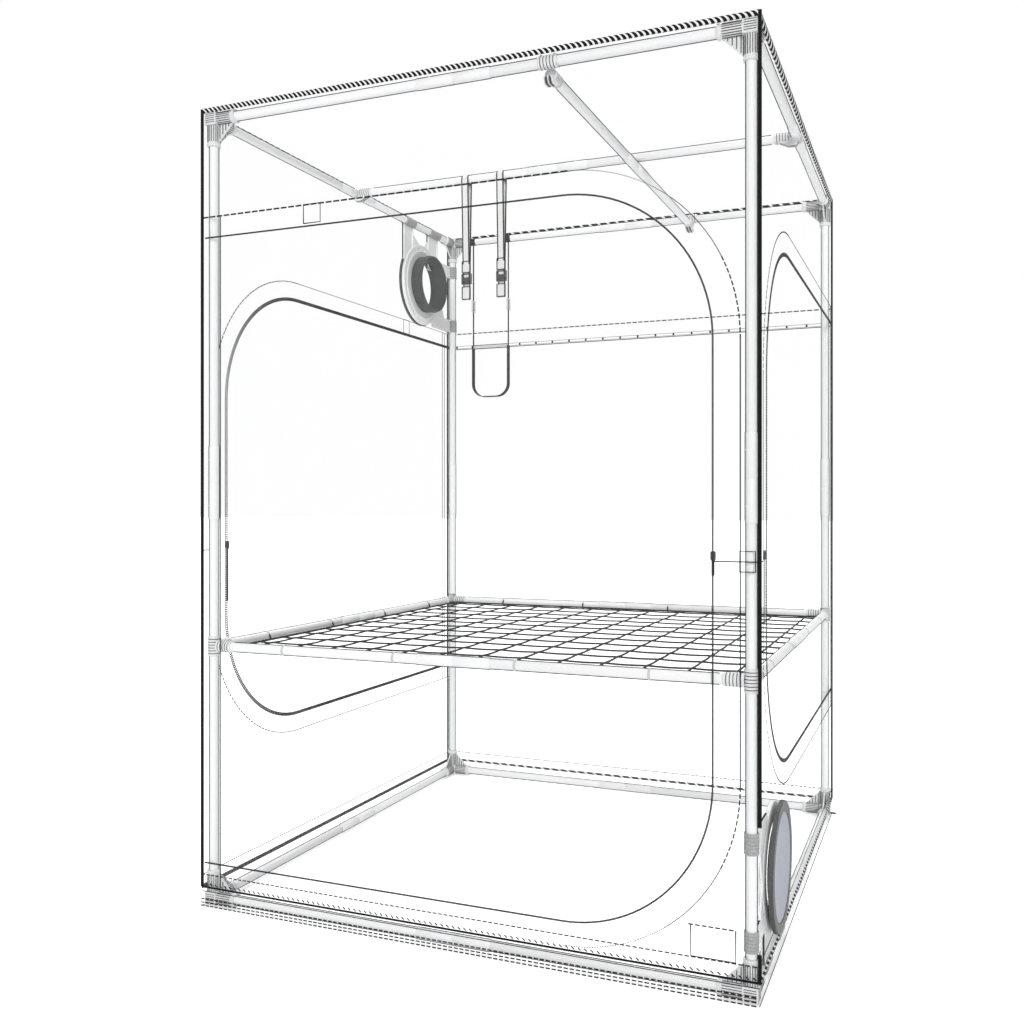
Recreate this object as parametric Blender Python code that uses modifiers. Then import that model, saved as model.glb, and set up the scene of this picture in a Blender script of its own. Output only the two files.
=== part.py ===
"""Indoor grow tent: clear zipped skin over a tube frame, with trellis net, vent and intake."""
import bpy
import bmesh
from math import cos, pi, radians, sin
from mathutils import Matrix, Vector

# Overall size and layers, from the outside in (metres)
WIDTH = 1.50
DEPTH = 1.50
HEIGHT = 2.16
GAP = 0.0003
BIND_T = 0.0010
SKIN_T = 0.0010
TRAY_T = 0.0010
BIND_W = 0.0080
ROOF_BIND_W = 0.0110
BASE_SEAM_Z = 0.0570
BASE_SEAM_W = 0.0060
TRAY_LIP = 0.0850

# Tubes, joint sleeves and sockets
TUBE_R = 0.0125
TUBE_WALL = 0.0012
TUBE_STOP = 0.0200
SLEEVE_LEN = 0.2000
SLEEVE_WALL = 0.0010
SLEEVE_Z = 1.1500
SOCKET_R = 0.0185
SOCKET_LEN = 0.0750
SOCKET_FLOOR = 0.0190
GUSSET_T = 0.0060
GUSSET_REACH = 0.0660
GUSSET_FOOT = 0.0100
CLIP_R = 0.0165
CLIP_LEN = 0.0500
CLIP_SOCKET = 0.0620
CLIP_STEP = 0.0005
BRACE_STEP = 0.0120
CLAMP_LEN = 0.0540

# Roof bars and net frame
DEEP_BAR_X = 0.2500
NET_RAIL_Z = 0.7045
NET_Z = 0.6950
NET_PITCH = 0.1107
NET_T = 0.0024
NET_CORD_W = 0.0030
TIE_T = 0.0012
TIE_W = 0.0060
TIE_BITE = 0.0004

# Front door: zip line, corner radius, cover flap and hinge strip
ZIP_SLOT = 0.0060
ZIP_W = 0.0054
ZIP_T = 0.0020
FRONT_ZIP_X = 0.6460
FRONT_ZIP_LOW = 0.1186
FRONT_ZIP_HEAD = 0.3470
FRONT_ZIP_R = 0.3550
FRONT_FLAP = 0.0550
FRONT_STRIP = 0.0530

# Side doors and rear panel
SIDE_ZIP_Y = 0.6520
SIDE_ZIP_LOW = 0.4430
SIDE_ZIP_HEAD = 0.4370
SIDE_ZIP_R = 0.3400
SIDE_FLAP = 0.0540
SIDE_STRIP = 0.0700
REAR_FLAP = 0.0540
FLAP_LAP = 0.0080
SEW_IN = 0.0010
SEW_OUT = 0.0070
SEW_T = 0.0014
LINK_IN = 0.0037
LINK_T = 0.0012
LINK_H = 0.0050
LINK_STEP = 0.0004

# Sliders and their pulls
SLIDER_W = 0.0120
SLIDER_T = 0.0050
SLIDER_H = 0.0220
SLIDER_Z = 0.9660
TAPE_W = 0.0090
TAPE_T = 0.0012
TAPE_LEN = 0.1460
TAB_W = 0.0070
TAB_LEN = 0.0320

# Port plates, clipped to a pole and a rail
PORT_POLE = 0.2500
PORT_RAIL = 0.2140
PLATE_R = 0.1500
PLATE_HOLE_R = 0.1060
PLATE_BACK = 0.0116
PLATE_T = 0.0120
WEB_T = 0.0080
WEB_STEP = 0.0005
GASKET_R = 0.1530
FLANGE_R = 0.1320
FLANGE_T = 0.0040
DUCT_R = 0.1040
DUCT_WALL = 0.0040
DUCT_IN = 0.0490
VENT_SKIN_R = 0.1060
INTAKE_SKIN_R = 0.1280
RING_R = 0.1480
RING_OUT = 0.0110
RING_SEAT_R = 0.1250
RING_SEAT_T = 0.0050
RING_NECK_R = 0.1000
RING_LIP_R = 0.0950
FILTER_T = 0.0040

# Outline of the plate: arms towards the rail, grips towards the pole, webs between
ARM_FAR_LOW = -0.1480
ARM_FAR_HIGH = -0.0780
ARM_NEAR_LOW = 0.0420
ARM_NEAR_HIGH = 0.1220
GRIP_A_LOW = 0.0720
GRIP_A_HIGH = 0.1180
GRIP_B_LOW = -0.1440
GRIP_B_HIGH = -0.0960
ARM_ROOT = 0.0130
WEB_EDGE = -0.0050
WEB_IN = 0.0600
WEB_SPAN = 0.0900
WEB_RISE = 0.1900

# Hanging straps and the sling
WEBBING_W = 0.0250
WEBBING_T = 0.0014
STRAP_A_X = -0.3190
STRAP_B_X = -0.1960
STRAP_DROP = 0.4100
STRAP_NECK = 0.0020
BUCKLE_DROP = 0.3420
BUCKLE_H = 0.0340
BUCKLE_W = 0.0340
BUCKLE_T = 0.0100
SLING_X = -0.5670
SLING_SPAN = 0.1520
SLING_DROP = 0.6430
SLING_BAND_DROP = 0.4430
SLING_ROUND = 0.0500
SLING_EYE_R = 0.0165

# Label place and small tab on the front wall
LABEL_X = 0.6470
LABEL_Z = 0.1236
LABEL_W = 0.1000
LABEL_H = 0.0700
PATCH_X = 0.7230
PATCH_Z = 0.9670
PATCH_W = 0.0280
PATCH_H = 0.0450

SEG = 8
DISC_SEG = 24
ARC_SEG = 7
EYE_SEG = 16
NET_LINES = 13
TIE_STEPS = (-4.5, -1.5, 1.5, 4.5)
MERGE = 0.00001

# Derived sizes
HALF_W = WIDTH / 2
HALF_D = DEPTH / 2
SKIN_OUT = BIND_T + GAP
SKIN_IN = SKIN_OUT + SKIN_T
TRAY_OUT = SKIN_IN + GAP
TRAY_IN = TRAY_OUT + TRAY_T
AXIS_SIDE = TRAY_IN + GAP + SOCKET_R
AX = HALF_W - AXIS_SIDE
AY = HALF_D - AXIS_SIDE
Z_TOP = HEIGHT - SKIN_IN - GAP - SOCKET_R
Z_LOW = SKIN_T + GAP + TRAY_T + GAP + SOCKET_R
SLEEVE_R = TUBE_R + SLEEVE_WALL
BORE_R = TUBE_R + GAP / cos(pi / SEG)
FLAT = cos(pi / SEG)
Z_DEEP_BAR = Z_TOP - (TUBE_R + SLEEVE_R) * FLAT - GAP
NET_BORDER = AX - CLIP_R - GAP - NET_CORD_W / 2
HINGE_X = HALF_W - BIND_W - GAP
HINGE_Y = HALF_D - BIND_W - GAP
WALL_LOW = SKIN_T + GAP
WALL_TOP = HEIGHT - SKIN_IN - GAP
HALF_SLOT = ZIP_SLOT / 2
FRONT_ZIP_TOP = HEIGHT - FRONT_ZIP_HEAD
SIDE_ZIP_TOP = HEIGHT - SIDE_ZIP_HEAD
STRAP_LOW = HEIGHT - STRAP_DROP
BUCKLE_Z = HEIGHT - BUCKLE_DROP
SLING_LOW = HEIGHT - SLING_DROP
SLING_BAND_Z = HEIGHT - SLING_BAND_DROP
VENT_Z = Z_TOP - PORT_RAIL
VENT_Y = AY - PORT_POLE
INTAKE_Z = Z_LOW + PORT_RAIL
INTAKE_Y = PORT_POLE - AY
FAR = WIDTH + DEPTH + HEIGHT

for old in list(bpy.data.objects):
    bpy.data.objects.remove(old, do_unlink=True)

tent = bpy.data.collections.new("grow_tent")
bpy.context.scene.collection.children.link(tent)

# Wall frames: local X runs along the wall, local Y up, local Z straight out of the tent
FRONT = Matrix.Translation((0, -HALF_D, 0)) @ Matrix.Rotation(radians(90), 4, "X")
RIGHT = (Matrix.Translation((HALF_W, 0, 0)) @ Matrix.Rotation(radians(90), 4, "Z")
         @ Matrix.Rotation(radians(90), 4, "X"))
REAR = (Matrix.Translation((0, HALF_D, 0)) @ Matrix.Rotation(radians(180), 4, "Z")
        @ Matrix.Rotation(radians(90), 4, "X"))
LEFT = (Matrix.Translation((-HALF_W, 0, 0)) @ Matrix.Rotation(radians(-90), 4, "Z")
        @ Matrix.Rotation(radians(90), 4, "X"))


def add_object(name, data, matrix=None):
    obj = bpy.data.objects.new(name, data)
    tent.objects.link(obj)
    if matrix is not None:
        obj.matrix_world = matrix
    return obj


def paint(obj, color, rough, metallic=0.0, alpha=1.0):
    mat = bpy.data.materials.new(obj.name)
    mat.use_nodes = True
    shader = mat.node_tree.nodes["Principled BSDF"]
    shader.inputs["Base Color"].default_value = (*color, 1.0)
    shader.inputs["Roughness"].default_value = rough
    shader.inputs["Metallic"].default_value = metallic
    shader.inputs["Alpha"].default_value = alpha
    obj.data.materials.clear()
    obj.data.materials.append(mat)
    return obj


def coated(obj):
    return paint(obj, (0.86, 0.87, 0.87), 0.35, 0.1)


def moulded(obj):
    return paint(obj, (0.82, 0.82, 0.81), 0.5)


def clear_film(obj):
    return paint(obj, (0.90, 0.92, 0.93), 0.3, 0.0, 0.25)


def black(obj):
    return paint(obj, (0.02, 0.02, 0.02), 0.8)


def to_mesh(obj):
    bpy.context.view_layer.update()
    depsgraph = bpy.context.evaluated_depsgraph_get()
    mesh = bpy.data.meshes.new_from_object(obj.evaluated_get(depsgraph))
    bm = bmesh.new()
    bm.from_mesh(mesh)
    bmesh.ops.remove_doubles(bm, verts=bm.verts, dist=MERGE)
    bmesh.ops.dissolve_degenerate(bm, edges=bm.edges, dist=MERGE)
    bmesh.ops.recalc_face_normals(bm, faces=bm.faces)
    bm.to_mesh(mesh)
    bm.free()
    return mesh


def solidified(obj):
    name = obj.name
    mesh = to_mesh(obj)
    matrix = obj.matrix_world.copy()
    bpy.data.objects.remove(obj, do_unlink=True)
    return add_object(name, mesh, matrix)


def cube(name, low, high, matrix=Matrix()):
    centre = (Vector(low) + Vector(high)) / 2
    size = Vector(high) - Vector(low)
    bm = bmesh.new()
    bmesh.ops.create_cube(bm, size=1, matrix=Matrix.Translation(centre) @ Matrix.Diagonal((*size, 1)))
    mesh = bpy.data.meshes.new(name)
    bm.to_mesh(mesh)
    bm.free()
    return add_object(name, mesh, matrix)


def rod(name, centre, axis, start, end, radius, matrix=Matrix()):
    bm = bmesh.new()
    bmesh.ops.create_cone(bm, cap_ends=True, segments=SEG, radius1=radius, radius2=radius, depth=end - start)
    bmesh.ops.rotate(bm, verts=bm.verts, matrix=Matrix.Rotation(pi / SEG, 3, "Z"))
    bmesh.ops.translate(bm, verts=bm.verts, vec=(0, 0, (start + end) / 2))
    turn = {"X": Matrix.Rotation(radians(90), 3, "Y"), "Y": Matrix.Rotation(radians(-90), 3, "X"),
            "Z": Matrix.Identity(3)}[axis]
    bmesh.ops.rotate(bm, verts=bm.verts, matrix=turn)
    bmesh.ops.translate(bm, verts=bm.verts, vec=Vector(centre))
    mesh = bpy.data.meshes.new(name)
    bm.to_mesh(mesh)
    bm.free()
    return add_object(name, mesh, matrix)


def turned(name, profile, steps, matrix=Matrix()):
    points = [(radius, 0, height) for radius, height in profile]
    links = [(i, (i + 1) % len(points)) for i in range(len(points))]
    mesh = bpy.data.meshes.new(name)
    mesh.from_pydata(points, links, [])
    obj = add_object(name, mesh, matrix)
    screw = obj.modifiers.new("turn", "SCREW")
    screw.axis = "Z"
    screw.steps = steps
    screw.render_steps = steps
    screw.use_merge_vertices = True
    screw.merge_threshold = MERGE
    screw.use_normal_calculate = True
    return solidified(obj)


def slab(name, loops, low, high, matrix=Matrix()):
    curve = bpy.data.curves.new(name, "CURVE")
    curve.dimensions = "2D"
    curve.fill_mode = "BOTH"
    curve.extrude = (high - low) / 2
    for loop in loops:
        spline = curve.splines.new("POLY")
        spline.points.add(len(loop) - 1)
        for point, (u, v) in zip(spline.points, loop):
            point.co = (u, v, 0, 1)
        spline.use_cyclic_u = True
    obj = solidified(add_object(name, curve, matrix))
    for vert in obj.data.vertices:
        vert.co.z += (low + high) / 2
    return obj


def combine(base, tool, operation):
    modifier = base.modifiers.new("join", "BOOLEAN")
    modifier.operation = operation
    modifier.solver = "EXACT"
    modifier.object = tool
    base.data = to_mesh(base)
    base.modifiers.clear()
    bpy.data.objects.remove(tool, do_unlink=True)
    return base


def union(pieces):
    for other in pieces[1:]:
        combine(pieces[0], other, "UNION")
    return pieces[0]


def gathered(pieces):
    bpy.context.view_layer.update()
    bm = bmesh.new()
    for piece in pieces:
        piece.data.transform(piece.matrix_world)
        bm.from_mesh(piece.data)
    mesh = bpy.data.meshes.new(pieces[0].name)
    bm.to_mesh(mesh)
    bm.free()
    name = pieces[0].name
    for piece in pieces:
        bpy.data.objects.remove(piece, do_unlink=True)
    return add_object(name, mesh)


def cut(base, tools):
    for tool in tools:
        combine(base, tool, "DIFFERENCE")
    return base


def set_origin(obj, point):
    inverse = obj.matrix_world.inverted()
    local = inverse @ Vector(point)
    obj.data.transform(Matrix.Translation(-local))
    obj.matrix_world = Matrix.Translation(obj.matrix_world.to_3x3() @ local) @ obj.matrix_world
    return obj


def smooth(obj):
    obj.data.shade_smooth()
    obj.data.set_sharp_from_angle(angle=radians(40))
    return obj


def rect(low_u, high_u, low_v, high_v):
    return [(low_u, low_v), (high_u, low_v), (high_u, high_v), (low_u, high_v)]


def circle(u, v, radius, count=DISC_SEG, start=0):
    angles = [2 * pi * i / count + start for i in range(count)]
    return [(u + radius * cos(angle), v + radius * sin(angle)) for angle in angles]


def d_outline(hinge, far_edge, low, high, radius):
    way = 1 if far_edge > hinge else -1
    points = [(hinge, low)]
    for step in range(ARC_SEG + 1):
        angle = pi / 2 * step / ARC_SEG
        points.append((far_edge - way * radius * (1 - sin(angle)), low + radius * (1 - cos(angle))))
    for step in range(ARC_SEG + 1):
        angle = pi / 2 * step / ARC_SEG
        points.append((far_edge - way * radius * (1 - cos(angle)), high - radius * (1 - sin(angle))))
    points.append((hinge, high))
    return points


# Frame tubes: each has its joint sleeve in the middle of its run
def tube(name, centre, axis, start, end, sleeve_at):
    low = sleeve_at - SLEEVE_LEN / 2
    high = sleeve_at + SLEEVE_LEN / 2
    profile = [(TUBE_R - TUBE_WALL, start), (TUBE_R, start), (TUBE_R, low), (SLEEVE_R, low), (SLEEVE_R, high),
               (TUBE_R, high), (TUBE_R, end), (TUBE_R - TUBE_WALL, end)]
    turn = {"X": Matrix.Rotation(radians(90), 4, "Y"), "Y": Matrix.Rotation(radians(-90), 4, "X"),
            "Z": Matrix.Identity(4)}[axis]
    matrix = Matrix.Translation(centre) @ turn @ Matrix.Rotation(pi / SEG, 4, "Z")
    return coated(smooth(turned(name, profile, SEG, matrix)))


corners = (("front_left", -1, -1), ("front_right", 1, -1), ("rear_right", 1, 1), ("rear_left", -1, 1))
for place, sx, sy in corners:
    tube("pole_" + place, (sx * AX, sy * AY, 0), "Z", Z_LOW + TUBE_STOP, Z_TOP - TUBE_STOP, SLEEVE_Z)
for level, height in (("top", Z_TOP), ("bottom", Z_LOW), ("net", NET_RAIL_Z)):
    tube(level + "_rail_front", (0, -AY, height), "X", TUBE_STOP - AX, AX - TUBE_STOP, 0)
    tube(level + "_rail_rear", (0, AY, height), "X", TUBE_STOP - AX, AX - TUBE_STOP, 0)
    tube(level + "_rail_left", (-AX, 0, height), "Y", TUBE_STOP - AY, AY - TUBE_STOP, 0)
    tube(level + "_rail_right", (AX, 0, height), "Y", TUBE_STOP - AY, AY - TUBE_STOP, 0)
tube("roof_bar_across", (0, 0, Z_TOP), "X", TUBE_STOP - AX, AX - TUBE_STOP, 0)
tube("roof_bar_deep", (DEEP_BAR_X, 0, Z_DEEP_BAR), "Y", TUBE_STOP - AY, AY - TUBE_STOP, 0)

# Corner connector: three sockets, a square core and two webs; one shape turned to eight places
connector = cube("connector", (-SOCKET_R, -SOCKET_R, -SOCKET_R), (SOCKET_R, SOCKET_R, SOCKET_R))
web = [(GUSSET_FOOT, GUSSET_FOOT), (GUSSET_REACH, GUSSET_FOOT), (GUSSET_FOOT, GUSSET_REACH)]
web_x = slab("web", [web], -GUSSET_T / 2, GUSSET_T / 2, Matrix.Rotation(radians(90), 4, "X"))
web_y = slab("web", [web], -GUSSET_T / 2, GUSSET_T / 2,
             Matrix.Rotation(radians(90), 4, "Z") @ Matrix.Rotation(radians(90), 4, "X"))
union([connector, web_x, web_y]
      + [rod("socket", (0, 0, 0), axis, 0, SOCKET_LEN, SOCKET_R) for axis in "XYZ"])
cut(connector, [rod("bore", (0, 0, 0), axis, SOCKET_FLOOR, 2 * SOCKET_LEN, BORE_R) for axis in "XYZ"])
smooth(connector)
quarter = {"front_left": 0, "front_right": 90, "rear_right": 180, "rear_left": 270}
for place, sx, sy in corners:
    turn = Matrix.Rotation(radians(quarter[place]), 4, "Z")
    low = add_object("corner_bottom_" + place, connector.data.copy(),
                     Matrix.Translation((sx * AX, sy * AY, Z_LOW)) @ turn)
    moulded(low)
    flip = Matrix.Rotation(radians(quarter[place] + 90), 4, "Z") @ Matrix.Rotation(radians(180), 4, "X")
    top = add_object("corner_top_" + place, connector.data.copy(),
                     Matrix.Translation((sx * AX, sy * AY, Z_TOP)) @ flip)
    moulded(top)
bpy.data.objects.remove(connector, do_unlink=True)

# Roof bar clips: a ring round the rail or its sleeve, and a braced socket for the bar
def bar_clip(drop):
    clip = rod("clip", (0, 0, 0), "Y", -CLIP_LEN / 2, CLIP_LEN / 2, CLIP_R)
    root = BRACE_STEP / 2
    brace = [(root, -drop - TUBE_R), (CLIP_SOCKET - BRACE_STEP, -drop - TUBE_R),
             (BRACE_STEP, -drop - CLIP_R - BRACE_STEP), (root, -drop - CLIP_R - root)]
    start = (TUBE_R + CLIP_R) / 2 if drop == 0 else -root
    union([clip, rod("socket", (0, 0, -drop), "X", start, CLIP_SOCKET, CLIP_R - CLIP_STEP),
           slab("brace", [brace], -GUSSET_T / 2, GUSSET_T / 2, Matrix.Rotation(radians(90), 4, "X"))])
    grasp = BORE_R + SLEEVE_WALL if drop == 0 else BORE_R
    bore_start = SOCKET_FLOOR if drop == 0 else -CLIP_SOCKET
    cut(clip, [rod("bore", (0, 0, 0), "Y", -CLIP_LEN, CLIP_LEN, grasp),
               rod("bore", (0, 0, -drop), "X", bore_start, 2 * CLIP_SOCKET, BORE_R)])
    return smooth(clip)


level_clip = bar_clip(0)
low_clip = bar_clip(Z_TOP - Z_DEEP_BAR)
for name, source, centre, angle in (
        ("roof_clip_left", level_clip, (-AX, 0, Z_TOP), 0),
        ("roof_clip_right", level_clip, (AX, 0, Z_TOP), 180),
        ("roof_clip_front", low_clip, (DEEP_BAR_X, -AY, Z_TOP), 90),
        ("roof_clip_rear", low_clip, (DEEP_BAR_X, AY, Z_TOP), 270)):
    moulded(add_object(name, source.data.copy(),
                       Matrix.Translation(centre) @ Matrix.Rotation(radians(angle), 4, "Z")))
for spare in (level_clip, low_clip):
    bpy.data.objects.remove(spare, do_unlink=True)

# Net frame clamps: a ring on each pole with two sockets for the net rails
clamp = rod("clamp", (0, 0, 0), "Z", -CLAMP_LEN / 2, CLAMP_LEN / 2, CLIP_R)
union([clamp, rod("socket", (0, 0, 0), "X", 0, CLIP_SOCKET, CLIP_R - CLIP_STEP),
       rod("socket", (0, 0, 0), "Y", 0, CLIP_SOCKET, CLIP_R - 2 * CLIP_STEP)])
cut(clamp, [rod("bore", (0, 0, 0), "Z", -CLAMP_LEN, CLAMP_LEN, BORE_R),
            rod("bore", (0, 0, 0), "X", SOCKET_FLOOR, 2 * CLIP_SOCKET, BORE_R),
            rod("bore", (0, 0, 0), "Y", SOCKET_FLOOR, 2 * CLIP_SOCKET, BORE_R)])
smooth(clamp)
for place, sx, sy in corners:
    spot = Matrix.Translation((sx * AX, sy * AY, NET_RAIL_Z))
    turn = Matrix.Rotation(radians(quarter[place]), 4, "Z")
    moulded(add_object("net_clamp_" + place, clamp.data.copy(), spot @ turn))
bpy.data.objects.remove(clamp, do_unlink=True)

# Trellis net: square mesh with a border cord, and tie loops round the net rails
lines = [-NET_BORDER] + [(i - (NET_LINES - 1) / 2) * NET_PITCH for i in range(NET_LINES)] + [NET_BORDER]
sides = [line + way * NET_CORD_W / 2 for line in lines for way in (-1, 1)]
steps = len(sides) - 1
bm = bmesh.new()
bmesh.ops.create_grid(bm, x_segments=steps, y_segments=steps, size=1)
gaps = []
for square in bm.faces:
    column, row = (int((value + 1) / 2 * steps) for value in square.calc_center_median().xy)
    if column % 2 and row % 2:
        gaps.append(square)
bmesh.ops.delete(bm, geom=gaps, context="FACES_ONLY")
for vert in bm.verts:
    vert.co.x = sides[round((vert.co.x + 1) / 2 * steps)]
    vert.co.y = sides[round((vert.co.y + 1) / 2 * steps)]
mesh = bpy.data.meshes.new("trellis_net")
bm.to_mesh(mesh)
bm.free()
net = add_object("trellis_net", mesh, Matrix.Translation((0, 0, NET_Z)))
shell = net.modifiers.new("cord", "SOLIDIFY")
shell.thickness = NET_T
shell.offset = 0
net = solidified(net)
reach = AX - NET_BORDER + NET_CORD_W / 2 - TIE_BITE
hang = NET_RAIL_Z - NET_Z


def tie_outline(grow):
    size = TUBE_R + (GAP + grow) / cos(pi / 8)
    turns = [pi / 8 + pi / 4 * i for i in (-2, -1, 0, 1, 2, 3)]
    points = [(size * cos(turn), size * sin(turn)) for turn in turns]
    foot = -reach - grow
    return points + [(foot, -hang + NET_T / 2 + TIE_T), (foot, -size * cos(pi / 8))]


ties = []
for middle in TIE_STEPS:
    for side in (0, 90, 180, 270):
        frame = (Matrix.Rotation(radians(side), 4, "Z")
                 @ Matrix.Translation((AX, middle * NET_PITCH, NET_RAIL_Z))
                 @ Matrix.Rotation(radians(90), 4, "X"))
        ties.append(slab("tie", [tie_outline(TIE_T), tie_outline(0)], -TIE_W / 2, TIE_W / 2, frame))
union([net, gathered(ties)])
black(net)

# Floor sheet under the walls, and the loose tray lying on it
clear_film(cube("floor_sheet", (SKIN_OUT - HALF_W, SKIN_OUT - HALF_D, 0),
                (HALF_W - SKIN_OUT, HALF_D - SKIN_OUT, SKIN_T)))
tray = cube("floor_tray", (TRAY_OUT - HALF_W, TRAY_OUT - HALF_D, SKIN_T + GAP),
            (HALF_W - TRAY_OUT, HALF_D - TRAY_OUT, TRAY_LIP))
bm = bmesh.new()
bm.from_mesh(tray.data)
bmesh.ops.delete(bm, geom=[face for face in bm.faces if face.normal.z > FLAT], context="FACES_ONLY")
bm.to_mesh(tray.data)
bm.free()
shell = tray.modifiers.new("wall", "SOLIDIFY")
shell.thickness = TRAY_T
shell.offset = -1
shell.use_even_offset = True
paint(tray, (0.80, 0.82, 0.83), 0.4, 0.0, 0.4)

# Walls with their door openings and ports, and the roof
def wall(name, half, holes, frame):
    return clear_film(slab(name, [rect(-half, half, WALL_LOW, WALL_TOP)] + holes, -SKIN_IN, -SKIN_OUT, frame))


def door_hole(hinge, far_edge, low, high, radius):
    way = 1 if far_edge > hinge else -1
    return d_outline(hinge - way * GAP, far_edge + way * HALF_SLOT, low - HALF_SLOT, high + HALF_SLOT,
                     radius + HALF_SLOT)


front_half = HALF_W - SKIN_OUT
side_half = HALF_D - SKIN_IN - GAP
front_wall = wall("front_wall", front_half,
                  [door_hole(-HINGE_X, FRONT_ZIP_X, FRONT_ZIP_LOW, FRONT_ZIP_TOP, FRONT_ZIP_R)], FRONT)
wall("left_wall", side_half, [door_hole(-HINGE_Y, SIDE_ZIP_Y, SIDE_ZIP_LOW, SIDE_ZIP_TOP, SIDE_ZIP_R),
                              circle(-VENT_Y, VENT_Z, VENT_SKIN_R)], LEFT)
wall("right_wall", side_half, [door_hole(HINGE_Y, -SIDE_ZIP_Y, SIDE_ZIP_LOW, SIDE_ZIP_TOP, SIDE_ZIP_R),
                               circle(INTAKE_Y, INTAKE_Z, INTAKE_SKIN_R)], RIGHT)
wall("rear_wall", front_half,
     [rect(-HINGE_X - GAP, HINGE_X + GAP, SIDE_ZIP_LOW, SIDE_ZIP_TOP + HALF_SLOT)], REAR)
clear_film(cube("roof_panel", (SKIN_OUT - HALF_W, SKIN_OUT - HALF_D, HEIGHT - SKIN_IN),
                (HALF_W - SKIN_OUT, HALF_D - SKIN_OUT, HEIGHT - SKIN_OUT)))

# Blank label place and small tab, sewn on the front wall
for u, v, wide, tall in ((LABEL_X, LABEL_Z, LABEL_W, LABEL_H), (PATCH_X, PATCH_Z, PATCH_W, PATCH_H)):
    patch = slab("patch", [rect(u - wide / 2, u + wide / 2, v - tall / 2, v + tall / 2)],
                 -SKIN_OUT - SKIN_T / 2, -BIND_T / 4, FRONT)
    combine(front_wall, patch, "UNION")
clear_film(front_wall)

# Black binding along the upright corners, the roof edge and the foot seam
base_low = BASE_SEAM_Z - BASE_SEAM_W / 2
base_high = BASE_SEAM_Z + BASE_SEAM_W / 2
edging = cube("edge_binding", (-HALF_W, -HALF_D, base_low), (HALF_W, HALF_D, HEIGHT))
cut(edging, [
    cube("inside", (BIND_T - HALF_W, BIND_T - HALF_D, -HEIGHT),
         (HALF_W - BIND_T, HALF_D - BIND_T, HEIGHT - BIND_T)),
    cube("window", (-FAR, BIND_W - HALF_D, base_high), (FAR, HALF_D - BIND_W, HEIGHT - ROOF_BIND_W)),
    cube("window", (BIND_W - HALF_W, -FAR, base_high), (HALF_W - BIND_W, FAR, HEIGHT - ROOF_BIND_W)),
    cube("window", (ROOF_BIND_W - HALF_W, ROOF_BIND_W - HALF_D, base_high),
         (HALF_W - ROOF_BIND_W, HALF_D - ROOF_BIND_W, FAR)),
])
black(edging)

# Doors: the panel, with the flap that covers the zip and the hinge strip sewn on outside
def door(name, hinge, far_edge, low, high, radius, flap, strip, frame, origin):
    way = 1 if far_edge > hinge else -1

    def line(inset, hinge_inset):
        return d_outline(hinge + way * hinge_inset, far_edge - way * inset, low + inset, high - inset,
                         radius - inset)

    panel = slab(name, [line(HALF_SLOT, 0)], -SKIN_IN, -SKIN_OUT, frame)
    seam = slab("seam", [line(HALF_SLOT + SEW_IN, SEW_IN), line(SEW_OUT, strip - SEW_IN)],
                -SKIN_OUT - SEW_T / 4, -BIND_T / 2, frame)
    cover = slab("cover", [line(-flap, 0), line(FLAP_LAP, strip)], -BIND_T, 0, frame)
    union([panel, seam, cover])
    return clear_film(set_origin(panel, origin))


door("front_door", -HINGE_X, FRONT_ZIP_X, FRONT_ZIP_LOW, FRONT_ZIP_TOP, FRONT_ZIP_R, FRONT_FLAP, FRONT_STRIP,
     FRONT, (-HINGE_X, -HALF_D, 0))
door("left_door", -HINGE_Y, SIDE_ZIP_Y, SIDE_ZIP_LOW, SIDE_ZIP_TOP, SIDE_ZIP_R, SIDE_FLAP, SIDE_STRIP,
     LEFT, (-HALF_W, HINGE_Y, 0))
door("right_door", HINGE_Y, -SIDE_ZIP_Y, SIDE_ZIP_LOW, SIDE_ZIP_TOP, SIDE_ZIP_R, SIDE_FLAP, SIDE_STRIP,
     RIGHT, (HALF_W, HINGE_Y, 0))

# Rear panel: drops about its foot, with the flap that covers the rear zip along its top
foot = SIDE_ZIP_LOW + GAP
rear_panel = slab("rear_panel", [rect(-HINGE_X, HINGE_X, foot, SIDE_ZIP_TOP - HALF_SLOT)],
                  -SKIN_IN, -SKIN_OUT, REAR)
rear_seam = slab("seam", [rect(SEW_IN - HINGE_X, HINGE_X - SEW_IN, SIDE_ZIP_TOP - SEW_OUT,
                               SIDE_ZIP_TOP - HALF_SLOT - SEW_IN)],
                 -SKIN_OUT - SEW_T / 4, -BIND_T / 2, REAR)
rear_cover = slab("cover", [rect(-HINGE_X, HINGE_X, SIDE_ZIP_TOP - FLAP_LAP, SIDE_ZIP_TOP + REAR_FLAP)],
                  -BIND_T, 0, REAR)
union([rear_panel, rear_seam, rear_cover])
clear_film(set_origin(rear_panel, (0, HALF_D, SIDE_ZIP_LOW)))

# Zip chains: one round the front door, one from side to side round the back
def zip_band(name, hinge, far_edge, low, high, radius, frame):
    way = 1 if far_edge > hinge else -1
    half = ZIP_W / 2
    outside = d_outline(hinge, far_edge + way * half, low - half, high + half, radius + half)
    inside = d_outline(hinge, far_edge - way * half, low + half, high - half, radius - half)
    return slab(name, [outside + inside[::-1]], -SKIN_OUT - ZIP_T, -SKIN_OUT, frame)


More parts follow.
